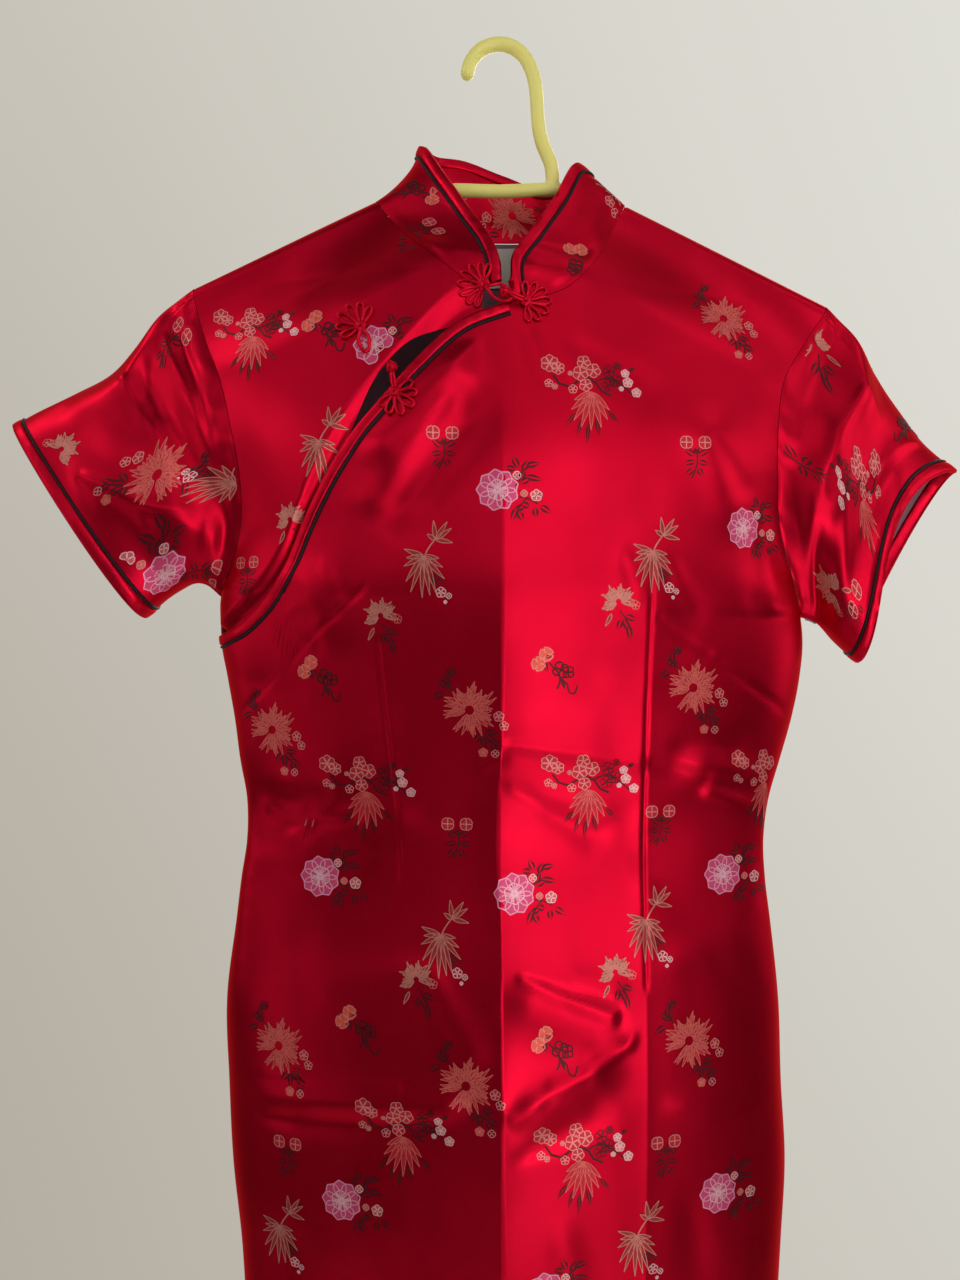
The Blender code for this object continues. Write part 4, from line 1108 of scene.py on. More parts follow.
def make_piping(name, node, edge, band, closed=False):
    """A narrow black cord beside a band of that width."""
    loop = []
    start = band + PIPING_GAP
    points0 = edge(start)[0]
    wander = 0.12 * ripple(np.arange(len(points0)) * 1.0, np.zeros(len(points0)), 71, 9.0, 5.0)
    for share, lift in PIPING_PROFILE:
        points, normals = edge(start + share * PIPING_WIDTH)
        loop.append(points + normals * ((lift * PIPING_RISE) * (1.0 + wander))[:, None])
    sections = np.stack(loop, axis=1)
    return settle(sweep(name, sections, BLACK, closed, 60.0), [node])


def opening_edge():
    x = np.linspace(OPENING_START, OPENING_X, 420)
    line = np.stack([x, smooth(OPENING, 1, x)], axis=-1)
    line = resample(line[::6], 300)
    x, down = line[:, 0], line[:, 1]
    run = unit(np.gradient(line, axis=0))
    into = np.stack([-run[:, 1], run[:, 0]], axis=-1)
    step = front_point(x + into[:, 0], down + into[:, 1]) - front_point(x, down)
    shrink = 1.0 / np.linalg.norm(step, axis=-1)

    def edge(d):
        px, pdown = x + into[:, 0] * d * shrink, down + into[:, 1] * d * shrink
        limit = half_width(px, pdown) - 0.2
        px = np.maximum(px, -limit)
        return front_point(px, pdown), surface_normals(front_point, px, pdown, FORWARD)

    return edge


def sleeve_edge(side):
    around = np.arange(300) / 300
    length = sleeve_lengths(side, around)

    def edge(d):
        t = 1.0 - d / length
        return sleeve_point(side, around, t), sleeve_normals(side, around, t)

    return edge


def collar_edge():
    s = np.linspace(0.0, 1.0, 360)
    height = np.linalg.norm(collar_point(s, np.ones_like(s)) - collar_point(s, np.zeros_like(s)), axis=-1)
    tops = collar_point(s, np.ones_like(s))
    runs = unit(np.gradient(tops, axis=0))
    rise = unit(tops - collar_point(s, np.zeros_like(s)))
    square = np.maximum(np.linalg.norm(np.cross(rise, runs), axis=-1), 0.45)

    def edge(d):
        share = 1.0 - np.minimum(d / square / height, 0.8)
        return collar_face(s, share), collar_normals(s, share)

    return edge


EDGES = {
    "opening": opening_edge(),
    "right": sleeve_edge("left"),
    "left": sleeve_edge("right"),
    "collar": collar_edge(),
}
bands = {
    "opening": make_band("opening_band", "opening_binding", EDGES["opening"], BAND_WIDTH, CLOTH),
    "right": make_band("sleeve_band_right", "sleeve_binding_right", EDGES["right"], SLEEVE_BAND, CLOTH, True),
    "left": make_band("sleeve_band_left", "sleeve_binding_left", EDGES["left"], SLEEVE_BAND, CLOTH, True),
    "collar": make_band("collar_band", "collar_binding", EDGES["collar"], BAND_WIDTH, COLLAR_WALL),
}
pipings = {
    "opening": make_piping("opening_cord", "opening_piping", EDGES["opening"], BAND_WIDTH),
    "right": make_piping("sleeve_cord_right", "sleeve_piping_right", EDGES["right"], SLEEVE_BAND, True),
    "left": make_piping("sleeve_cord_left", "sleeve_piping_left", EDGES["left"], SLEEVE_BAND, True),
    "collar": make_piping("collar_cord", "collar_piping", EDGES["collar"], BAND_WIDTH),
}


# Woven flowers
TONES = {
    "rose": ((0.60, 0.022, 0.040), (0.52, 0.014, 0.032)),
    "salmon": ((0.78, 0.14, 0.12), (0.66, 0.10, 0.09)),
    "pale": ((0.84, 0.27, 0.26), (0.74, 0.20, 0.20)),
    "plum": ((0.76, 0.085, 0.21), (0.64, 0.055, 0.16)),
    "lilac": ((0.92, 0.38, 0.54), (0.80, 0.28, 0.42)),
    "white": ((0.92, 0.56, 0.58), (0.84, 0.44, 0.48)),
    "brown": ((0.42, 0.035, 0.040), (0.36, 0.025, 0.030)),
    "beige": ((0.66, 0.24, 0.19), (0.54, 0.17, 0.14)),
    "maroon": ((0.12, 0.003, 0.010), (0.085, 0.002, 0.008)),
    "orange": ((0.85, 0.12, 0.07), (0.74, 0.09, 0.05)),
}
TONE_NAMES = list(TONES)
THREADS = [make_finish(f"thread_{name}", light, dark, 0.44, 0.62, 0.5, 1400.0, (1.0, 1.0, 1.0), 300.0)
           for name, (light, dark) in TONES.items()]
FILL_LIFT = 0.18
LINE_LIFT = 0.28
THREAD_EDGE = 1.5
THREAD_BELOW_BAND = 13.0
UNDER_FLOWERS_END = -14.0


def strip(tone, lift, left, right):
    """A ribbon between two lines of points."""
    return tone, lift, np.asarray(left, dtype=float), np.asarray(right, dtype=float)


def line(tone, points, width, lift=LINE_LIFT):
    points = np.asarray(points, dtype=float)
    runs = unit(np.gradient(points, axis=0))
    side = np.stack([-runs[:, 1], runs[:, 0]], axis=-1) * width / 2
    return strip(tone, lift, points - side, points + side)


def heading(degrees):
    """A direction on the cloth: 0 is to the right and 90 is up."""
    turn = math.radians(degrees)
    return np.array([math.cos(turn), -math.sin(turn)])


def leaf(fill, base, degrees, length, width, curl=0.0, vein=0.0, edge=None, thread=0.5):
    """A pointed leaf, filled or outlined; with a vein its two halves lie apart."""
    share = np.linspace(0.0, 1.0, 7)
    ahead = heading(degrees)
    side = np.array([-ahead[1], ahead[0]])
    middle = np.asarray(base) + share[:, None] * length * ahead + (curl * share ** 2)[:, None] * length * side
    half = (width / 2 * np.sin(math.pi * share ** 0.75))[:, None] * side
    gap = np.minimum(np.abs(half), vein / 2) * np.sign(side)
    shapes = []
    if fill and vein:
        shapes.append(strip(fill, FILL_LIFT, middle - half, middle - gap))
        shapes.append(strip(fill, FILL_LIFT, middle + gap, middle + half))
    elif fill:
        shapes.append(strip(fill, FILL_LIFT, middle - half, middle + half))
    if edge:
        shapes += [line(edge, middle - half, thread), line(edge, middle + half, thread)]
    return shapes


def petal(fill, edge, base, degrees, length, width, blunt=0.55, thread=0.55):
    """A round-ended petal: a filled patch with a lighter outline."""
    share = np.linspace(0.0, 1.0, 7)
    ahead = heading(degrees)
    side = np.array([-ahead[1], ahead[0]])
    middle = np.asarray(base) + share[:, None] * length * ahead
    half = (width / 2 * np.sin(math.pi * np.minimum(share, 0.999) ** (1.0 / blunt)) ** 0.6)[:, None] * side
    shapes = []
    if fill:
        shapes.append(strip(fill, FILL_LIFT, middle - half, middle + half))
    if edge:
        shapes.append(line(edge, np.concatenate([middle - half, (middle + half)[::-1]]), thread))
    return shapes


def dot(tone, place, radius, lift=LINE_LIFT):
    angles = np.linspace(0.0, math.pi, 5)
    x, v = place
    left = [(x - radius * math.sin(a), v - radius * math.cos(a)) for a in angles]
    right = [(x + radius * math.sin(a), v - radius * math.cos(a)) for a in angles]
    return strip(tone, lift, left, right)


def blossom(fill, edge, place, radius, petals=5, start=90.0, heart="pale"):
    shapes = []
    for k in range(petals):
        degrees = start + k * 360.0 / petals
        shapes += petal(fill, edge, place, degrees, radius, radius * 4.6 / petals, 0.6, 0.5)
    shapes.append(dot(heart, place, radius * 0.18, LINE_LIFT + 0.06))
    return shapes


def leaves(fill, rows, width, curl=0.0, vein=0.0, edge=None):
    """Several leaves, given as x, down, degrees and length."""
    shapes = []
    for x, down, degrees, length in rows:
        shapes += leaf(fill, (x, down), degrees, length, width, curl, vein, edge)
    return shapes


def blossoms(fill, edge, rows, petals=5, start=90.0, heart="pale"):
    """Several blossoms, given as x, down and radius."""
    shapes = []
    for x, down, radius in rows:
        shapes += blossom(fill, edge, (x, down), radius, petals, start, heart)
    return shapes


def mum(fill, tone, place, radius, first, last, count, rows=3, width=0.12):
    """A chrysanthemum: rows of narrow curling petals that fan round a heart."""
    shapes = []
    for row in range(rows):
        reach = radius * (1.0 - 0.27 * row)
        petals = max(count - 3 * row, 5)
        for k in range(petals):
            share = (k + 0.5) / petals
            degrees = first + (last - first) * share
            curl = 0.28 * math.sin(2.1 * k + row) * (1.0 if share < 0.5 else -1.0)
            base = np.asarray(place) + heading(degrees) * radius * (0.16 + 0.1 * row)
            long = reach * (0.74 + 0.12 * math.sin(3.3 * k + 2 * row))
            shapes += leaf(fill if row < 2 else None, base, degrees + 12 * math.sin(1.7 * k), long,
                           radius * width * 1.5, curl, edge=tone)
    return shapes


def twig(tone, points, width=0.9):
    return [line(tone, resample(points, 8), width, FILL_LIFT)]


def sprig_a():
    """Two orange buds, a dark flower and a curling tail."""
    shapes = blossoms("orange", "pale", [(-7.5, -10, 4), (-12, -4.5, 4)], 3, 60, "orange")
    shapes += leaf("maroon", (-9, -6), -65, 7, 3, 0.1, 0.5)
    shapes += leaf("maroon", (-8, -8), 25, 5, 2.4, 0, 0.5)
    for degrees in (20, 110, 200, 290):
        shapes += petal(None, "maroon", (1, -1), degrees, 4.8, 4.4, 0.6, 1)
        shapes += petal(None, "maroon", (5.4, 0.4), degrees + 30, 3.6, 3.4, 0.6, 0.9)
    shapes += twig("maroon", [(-5.5, -5), (-3, -2), (0, 1), (0.6, 6), (-1, 10)], 1.1)
    shapes += twig("maroon", [(1, 4), (5, 7.5), (6, 12), (9, 13), (11, 8)], 1.1)
    return shapes + leaf("maroon", (1.5, 4.5), -60, 6, 2.4, 0.2)


def plum_b():
    """A plum branch with pink and dark blossom over a fan of bamboo leaves."""
    branch = [(-20, -2), (-15, 4), (-8, 4.6), (-4, 0), (4, 1), (8, 7), (14, 10)]
    shapes = twig("maroon", branch, 1.4)
    shapes += twig("maroon", [(4, 2), (12, -1), (20, 3), (27, 9)], 1)
    shapes += blossoms("rose", "pale", [(-22, -9, 5.2), (-17, -6, 3.8)], 6)
    shapes += blossoms(None, "pale", [(-22.5, 3, 2.4), (-8.5, 6.5, 2.6), (-19, 5, 1.6), (-10, -3, 1.3)])
    shapes += blossoms("rose", "pale", [(-2, -10, 4), (-4, -3, 4.6), (3.5, -5, 4.4), (-1, 4, 3.8)],
                       5, 60)
    shapes += blossoms(None, "maroon", [(13, -5, 3.8), (17, 0.5, 3.8), (12.5, 3.5, 3.8), (18, -8.5, 2)],
                       5, 30, "maroon")
    shapes += blossoms("pale", "white", [(22.5, -4, 2.4), (24, 1.5, 3), (29, 7.5, 2.8), (20, 5.5, 1.4)],
                       5, 15, "white")
    shapes += leaf("maroon", (25, -6), 25, 4, 2.4)
    fan = [(-150, 11), (-134, 16), (-118, 20), (-103, 22), (-88, 23), (-72, 22),
           (-57, 19), (-42, 15)]
    shapes += leaves("rose", [(2, 8, *row) for row in fan], 3, 0.05, edge="salmon")
    for degrees, length in ((-126, 25), (-108, 27), (-95, 30), (-80, 26), (-48, 24)):
        tip = np.array([2, 8]) + heading(degrees) * length * 0.62
        shapes += leaf("maroon", tip, degrees, length * 0.42, 2.6, 0, 0.4)
    return shapes


def peony_c():
    """A lilac peony among dark leaves."""
    shapes = []
    for k in range(9):
        shapes += petal("plum", "lilac", (-4, 0), 18.0 + k * 40, 12, 8.2, 0.6, 0.7)
    for k in range(6):
        shapes += petal(None, "white", (-4, 0), 40.0 + k * 60, 6.2, 5.4, 0.6, 0.6)
    shapes.append(dot("white", (-4, 0), 2.3, LINE_LIFT + 0.05))
    shapes.append(dot("lilac", (-4, 0), 0.9, LINE_LIFT + 0.12))
    shapes += leaves("maroon", [
        (10, -11, 60, 8.5), (8, -13, 120, 8), (12, -14, 15, 8.5), (9, -5, 75, 8),
        (12, -8, -10, 10), (6, -12, 170, 6), (9, -4, 30, 7), (18, 6, 60, 7),
        (20, 9, -30, 8), (17, 10, -80, 6), (11, 9, -150, 7), (7, 10, -110, 9),
        (8, 13, -60, 5.5), (14, 9.5, 160, 5)], 4, 0.05, 0.9)
    for points in ([(6, -2), (9, -7), (11, -13)], [(7, 4), (12, 4.5), (19, 8)],
                   [(12, 5), (9, 9), (6, 14)]):
        shapes += twig("maroon", points, 0.8)
    shapes += blossom("salmon", "white", (7, -8.5), 2.3, 4)
    shapes += blossom("salmon", "white", (18, 3), 3.4, 5)
    return shapes + blossom("salmon", "pale", (11, 2), 2, 4)


def bamboo_d():
    """A beige bamboo sprig, with a small blossom under it."""
    shapes = twig("beige", [(8, -13), (4, -8), (1, -3), (0, 6)], 0.8)
    top = [(100, 11), (60, 12), (38, 11), (-8, 10), (150, 6)]
    shapes += leaves("brown", [(7, -11, *row) for row in top], 2.4, 0.05, edge="beige")
    for degrees, length in ((165, 12), (190, 10), (-150, 13), (-128, 18), (-110, 22),
                            (-96, 24), (-82, 23), (-68, 22), (-52, 18), (-34, 13), (-14, 9)):
        shapes += leaf("brown", (0, -2), degrees, length, 2.5, 0.07 * math.sin(degrees), edge="beige")
    shapes += leaves("maroon", [(4, 8, degrees, 12) for degrees in (-66, -44, -24)], 2.4, 0, 0.6)
    shapes += blossom("rose", "white", (10, 19), 3, 5)
    shapes += blossom(None, "white", (14.5, 21), 1.6, 4)
    return shapes + blossom("white", None, (12.5, 24.5), 1.2, 4)


def small_e():
    """A small beige chrysanthemum with dark leaves."""
    shapes = mum("brown", "beige", (0, -2), 10.5, -20, 235, 15, 3, 0.12)
    shapes += blossom(None, "salmon", (10, 0), 2.6, 5)
    shapes += leaves("maroon", [(4, 6, -20, 8), (3, 8, -60, 10), (6, 12, -75, 9),
                                (2, 8, -105, 7)], 3.8, 0.06, 0.9)
    shapes += leaf("brown", (-4, 5), -110, 8, 2, 0.1, edge="beige")
    return shapes + twig("maroon", [(1, 3), (4, 7), (8, 14)], 0.8)


def large_f():
    """A large salmon chrysanthemum with dark leaves and small blossom."""
    shapes = mum("rose", "salmon", (0, 0), 17, -130, 205, 21, 4, 0.095)
    shapes += leaves("maroon", [
        (-13, -14, 100, 8), (-12, -13, 150, 8.5), (-14, -12, 60, 7),
        (-15, -10, -150, 8), (-11, -19, 70, 7), (-10, -20, 120, 6), (9, 13, 0, 8),
        (9, 14, -40, 10), (8, 15, -85, 9), (7, 14, -130, 8), (13, 19, -70, 8),
        (12, 18, -20, 8)], 4, 0.05, 0.9)
    shapes += twig("maroon", [(-12, -22), (-12, -14), (-7, -8)], 0.8)
    shapes += blossom("rose", "pale", (17, 3.5), 3, 5)
    shapes += blossom(None, "pale", (20, 9), 2.6, 5)
    shapes += blossom("salmon", None, (8, 25), 3, 5)
    return shapes + blossom(None, "pale", (15, 25.5), 2.2, 4)


def buds_g():
    """Two ringed buds on a dark leafy sprig."""
    shapes = blossoms("rose", "pale", [(-6, -9, 3.9), (5, -9, 3.9)], 4, 45)
    shapes += leaves("maroon", [(0, -2, 90, 5), (-1, -1, 145, 8), (1, -1, 35, 8),
                                (-1, 2, -165, 7), (1, 2, -15, 7), (-2, 6, -130, 7),
                                (1, 6, -60, 6)], 3.6, 0.06, 0.9)
    return shapes + twig("maroon", [(0, -5), (0.5, 2), (-1, 8), (-3, 12)], 0.9)


MOTIFS = {made.__name__: made() for made in (sprig_a, plum_b, peony_c, bamboo_d, small_e, large_f, buds_g)}

FRONT_MOTIFS = [
    # motif, x, down
    ("sprig_a", 33, 386), ("sprig_a", 33, 604), ("sprig_a", -104, 391), ("sprig_a", -81, 596),
    ("plum_b", 50, 217), ("plum_b", 50, 448), ("plum_b", 45, 659), ("plum_b", -81, 450),
    ("plum_b", -58, 647), ("plum_b", 162, 448),
    ("peony_c", 2, 283), ("peony_c", 12, 516), ("peony_c", -104, 510), ("peony_c", 139, 510),
    ("peony_c", 147, 302), ("peony_c", -89, 696), ("peony_c", 133, 696), ("peony_c", 30, 742),
    ("bamboo_d", 87, 319), ("bamboo_d", 86, 536), ("bamboo_d", -44, 322), ("bamboo_d", -35, 542),
    ("bamboo_d", 79, 716), ("bamboo_d", -132, 721), ("bamboo_d", -32, 760),
    ("small_e", 67, 348), ("small_e", 67, 564), ("small_e", -69, 356), ("small_e", -49, 567),
    ("small_e", 66, 772), ("small_e", -60, 778),
    ("large_f", 135, 174), ("large_f", 113, 396), ("large_f", 111, 604), ("large_f", -18, 408),
    ("large_f", -132, 610), ("large_f", -137, 422), ("large_f", -20, 622),
    ("buds_g", 114, 262), ("buds_g", 96, 479), ("buds_g", 97, 670), ("buds_g", -33, 258),
    ("buds_g", -25, 485), ("buds_g", -126, 676),
]
UNDER_MOTIFS = [
    # motif, x, down
    ("plum_b", -150, 178), ("peony_c", -70, 196), ("bamboo_d", -106, 254), ("small_e", -124, 299),
    ("buds_g", -152, 330), ("buds_g", -55, 128), ("sprig_a", -102, 186),
]
# One repeat of the woven pattern
REPEAT_ACROSS = 122.0
REPEAT_DOWN = 221.0
REPEAT = [
    # motif, across, down
    ("peony_c", 0, 0), ("sprig_a", 22, 89), ("plum_b", 39, -69), ("bamboo_d", 75, 20),
    ("small_e", 56, 49), ("large_f", 101, 89), ("buds_g", 85, -37),
]


def lattice(start_x, start_down, low, high, left, right):
    """The pattern's repeats over an area that the photograph doesn't show."""
    places = []
    for i in range(-3, 4):
        for j in range(-1, 6):
            for name, across, down in REPEAT:
                x = start_x + i * REPEAT_ACROSS + across
                level = start_down + j * REPEAT_DOWN + down
                if left < x < right and low < level < high:
                    places.append((name, x, level))
    return places


def weave(name, places, at, normal_at, inside, scale_at):
    """Lays the motifs' threads on a panel. at(a, b) is a point of it, scale_at a step's length each way."""
    verts, faces, tones = [], [], []
    for motif, a0, b0, *turned in places:
        size_a, size_b = scale_at(a0, b0)
        spin = math.radians(turned[0]) if turned else 0.0
        cos, sin = math.cos(spin), math.sin(spin)
        for tone, lift, left, right in MOTIFS[motif]:
            flat = np.stack([left, right], axis=1).reshape(-1, 2)
            a = a0 + (flat[:, 0] * cos - flat[:, 1] * sin) / size_a
            b = b0 + (flat[:, 0] * sin + flat[:, 1] * cos) / size_b
            verts.append(np.stack([a, b, np.full_like(a, lift)], axis=-1))
            tones.append(TONE_NAMES.index(tone))
    flat = np.concatenate(verts)
    keep = inside(flat[:, 0], flat[:, 1])
    points = at(flat[:, 0], flat[:, 1]) + normal_at(flat[:, 0], flat[:, 1]) * flat[:, 2:3]
    used, indices, start, made = [], [], 0, 0
    for shape, tone in zip(verts, tones):
        count = len(shape)
        if keep[start:start + count].all():
            used.append(points[start:start + count])
            for k in range(count // 2 - 1):
                low = made + 2 * k
                faces.append((low, low + 1, low + 3, low + 2))
                indices.append(tone)
            made += count
        start += count
    piece = add_mesh(name, np.concatenate(used), faces, THREADS, indices, 180.0)
    return settle(piece)


def front_normals(x, down):
    return surface_normals(front_point, x, down, FORWARD)


def back_normals(x, down):
    return surface_normals(back_point, x, down, BACKWARD)


def under_normals(x, down):
    return surface_normals(under_point, x, down, FORWARD)


def apart(at, a0, b0, a1, b1):
    """The distance between two points of a surface."""
    return np.linalg.norm(at(np.array([a1]), np.array([b1])) - at(np.array([a0]), np.array([b0])))


def step_lengths(at, step=3.0):
    def lengths(a, b):
        across = apart(at, a - step, b, a + step, b) / (2 * step)
        down = apart(at, a, b - step, a, b + step) / (2 * step)
        return max(across, 1.0), max(down, 1.0)
    return lengths


def between(x, down, top, low):
    return (down > top) & (down < low) & (np.abs(x) < half_width(x, down) - THREAD_EDGE)


def on_front(x, down):
    top = top_of("front", x) + np.where(x < OPENING_X, THREAD_BELOW_BAND, THREAD_EDGE)
    return between(x, down, top, HEM_DOWN - THREAD_EDGE)


def on_back(x, down):
    return between(x, down, top_of("back", x) + THREAD_EDGE, HEM_DOWN - THREAD_EDGE)


def on_under(x, down):
    low = smooth(UNDER_EDGE, 1, x) - 2.0
    return between(x, down, top_of("under", x) + THREAD_EDGE, low) & (x < UNDER_FLOWERS_END)


LOWER_MOTIFS = lattice(12.0, 958.0, 800.0, 1060.0, -180.0, 180.0)
BACK_MOTIFS = lattice(-26.0, 240.0, 80.0, 1070.0, -190.0, 200.0)
front_flowers = weave("front_flowers", FRONT_MOTIFS + LOWER_MOTIFS, front_point, front_normals, on_front,
                      step_lengths(front_point))
back_flowers = weave("back_flowers", BACK_MOTIFS, back_point, back_normals, on_back, step_lengths(back_point))
under_flowers = weave("under_front_flowers", UNDER_MOTIFS, under_point, under_normals, on_under,
                      step_lengths(under_point))

SLEEVE_MOTIFS = {
    "left": [
        # motif, around, t, turn
        ("buds_g", 0.15, 0.17, 15), ("large_f", 0.272, 0.44, 8),
        ("bamboo_d", 0.322, 0.05, -12), ("peony_c", 0.4, 0.62, 25), ("small_e", 0.165, 0.85, 20),
        ("buds_g", 0.44, 0.25, 0),
        ("peony_c", 0.93, 0.6, 60), ("bamboo_d", 0.82, 0.3, 30), ("large_f", 0.76, 0.75, 30),
        ("sprig_a", 0.68, 0.4, 0), ("buds_g", 0.6, 0.78, 0), ("small_e", 0.87, 0.9, 60),
    ],
    "right": [
        # motif, around, t, turn
        ("small_e", 0.15, 0.05, -20), ("plum_b", 0.215, 0.56, -40), ("buds_g", 0.27, 0.1, -10),
        ("small_e", 0.38, 0.46, 20), ("sprig_a", 0.03, 0.72, -50), ("buds_g", 0.36, 0.84, 0),
        ("peony_c", 0.92, 0.5, -60), ("large_f", 0.78, 0.35, -30), ("plum_b", 0.73, 0.8, -30),
        ("bamboo_d", 0.62, 0.4, 0), ("buds_g", 0.86, 0.9, -40),
    ],
}


SLEEVE_SPAN = 0.05
THREAD_ABOVE_HEM = 10.5


def weave_sleeve(side, wearer):
    outward = -1.0 if side == "left" else 1.0

    def at(a, b):
        return sleeve_point(side, a, b)

    def normal_at(a, b):
        return sleeve_normals(side, a, b)

    def scale_at(a, b):
        steps = np.linspace(a - SLEEVE_SPAN, a + SLEEVE_SPAN, 13)
        girth = np.linalg.norm(np.diff(at(steps, np.full(13, b)), axis=0), axis=-1).sum() / (2 * SLEEVE_SPAN)
        length = sleeve_lengths(side, np.array([a]))[0]
        return outward * girth, length

    def inside(a, b):
        margin = THREAD_ABOVE_HEM / sleeve_lengths(side, a)
        return (b > 0.015) & (b < 1.0 - margin)

    return weave(f"sleeve_{wearer}_flowers", SLEEVE_MOTIFS[side], at, normal_at, inside, scale_at)


sleeve_right_flowers = weave_sleeve("left", "right")
sleeve_left_flowers = weave_sleeve("right", "left")

COLLAR_MOTIFS = [
    # motif, s, h
    ("sprig_a", 0.235, 0.55), ("buds_g", 0.16, 0.2), ("peony_c", 0.4, 0.5), ("bamboo_d", 0.56, 0.6),
    ("large_f", 0.68, 0.35), ("sprig_a", 0.875, 0.15),
]
COLLAR_INSIDE = [
    # motif, s, h
    ("large_f", 0.508, 0.42), ("buds_g", 0.4, 0.4), ("small_e", 0.6, 0.5), ("sprig_a", 0.3, 0.4),
    ("buds_g", 0.7, 0.5),
]


def weave_collar(name, places, inner):
    def at(s, h):
        return collar_face(s, h) - collar_normals(s, h) * (COLLAR_WALL if inner else 0.0)

    def normal_at(s, h):
        return collar_normals(s, h) * (-1.0 if inner else 1.0)

    def scale_at(s, h):
        across = apart(at, s - 0.01, h, s + 0.01, h) / 0.02
        rise = apart(at, s, 0.0, s, 1.0)
        return (-across if inner else across), -rise

    def inside(s, h):
        return (h > 0.03) & (h < 0.8) & (s > 0.02) & (s < 0.98)

    return weave(name, places, at, normal_at, inside, scale_at)


collar_flowers = weave_collar("collar_flowers", COLLAR_MOTIFS, False)
collar_inner_flowers = weave_collar("collar_inner_flowers", COLLAR_INSIDE, True)


# Frogs
def cloth_levels(pieces):
    graph = bpy.context.evaluated_depsgraph_get()
    return [BVHTree.FromObject(piece, graph) for piece in pieces]


def level_at(trees, x, down, reach=1.2):
    """y of the frontmost cloth near a place."""
    found = []
    for dx, dz in ((0.0, 0.0), (reach, 0.0), (-reach, 0.0), (0.0, reach), (0.0, -reach)):
        for tree in trees:
            hit = tree.ray_cast(Vector(((x + dx) * MM, -0.2, (dz - down) * MM)), Vector((0.0, 1.0, 0.0)))
            if hit[0] is not None and hit[0].y < 0.0:
                found.append(hit[0].y / MM)
    return min(found) if found else None


def settled(trees, flat, above, soften=5):
    """Points (x, down) laid on the cloth, a little above it, with their heights evened out."""
    levels = [level_at(trees, x, down) for x, down in flat]
    known = [level for level in levels if level is not None]
    deepest = max(known)
    levels = np.array([deepest if level is None else level for level in levels])
    for _ in range(soften):
        levels = np.minimum(levels, (np.roll(levels, 1) + levels + np.roll(levels, -1)) / 3)
    return np.stack([flat[:, 0], levels - above, -flat[:, 1]], axis=-1)


PETAL_CORD = 0.85
LOOP_CORD = 1.1
FROG_FLOWERS = [
    # node, x, down, reach, first_deg, last_deg, petals
    ("frog_neck_flower_left", -10, 161.5, 16, 60, 262, 8),
    ("frog_neck_flower_right", 14.6, 171.5, 15.5, -97, 107, 7),
    ("frog_chest_flower_left", -81.5, 184.7, 17.5, 52, 218, 6),
    ("frog_chest_flower_right", -61.2, 225.2, 15.5, -155, 45, 6),
]


def join_pieces(name, pieces):
    """One object from several, without operators."""
    verts, faces, start = [], [], 0
    finish = pieces[0].data.materials[0]
    for piece in pieces:
        mesh = piece.data
        verts += [vert.co / MM for vert in mesh.vertices]
        faces += [tuple(start + i for i in poly.vertices) for poly in mesh.polygons]
        start += len(mesh.vertices)
        bpy.data.objects.remove(piece, do_unlink=True)
        bpy.data.meshes.remove(mesh)
    return add_mesh(name, [tuple(vert) for vert in verts], faces, [finish], None, 60.0)


def frog_flower(trees, node, x, down, reach, first, last, petals):
    """A fan of looped cord petals sewn side by side, round a small coiled heart."""
    gap = (last - first) / petals
    made = []
    for k in range(petals):
        middle = math.radians(first + gap * (k + 0.5))
        long = reach * (0.86 + 0.14 * math.cos(2.4 * (k - (petals - 1) / 2) / petals * 2)) - PETAL_CORD
        turn = np.linspace(0.0, 2 * math.pi, 29)[:-1]
        out = 1.6 + (long - 1.6) * (1.0 - np.cos(turn)) / 2
        wide = np.sin(turn) * (out / long) ** 0.8 * min(long * math.radians(gap) * 0.42, 3.1)
        px = x + out * math.cos(middle) - wide * math.sin(middle)
        pdown = down - out * math.sin(middle) - wide * math.cos(middle)
        path = settled(trees, np.stack([px, pdown], axis=-1), PETAL_CORD + 0.1 + 0.12 * (k % 2))
        made.append(tube(f"{node}_petal", path, PETAL_CORD, CORD, closed=True, sides=8))
    turn = np.linspace(0.0, 2.6 * 2 * math.pi, 52)
    out = 2.9 - 2.1 * turn / turn[-1]
    coil = settled(trees, np.stack([x + out * np.cos(turn), down - out * np.sin(turn)], axis=-1), 2.1)
    coil[:, 1] -= 0.9 * turn / turn[-1]
    made.append(tube(f"{node}_heart", coil, 0.9, CORD, sides=8))
    return settle(join_pieces(f"{node}_cords", made), [node])


def place_of(node):
    low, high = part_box(node)
    return np.array(low) / MM, np.array(high) / MM


KNOT_RADIUS = 3.1


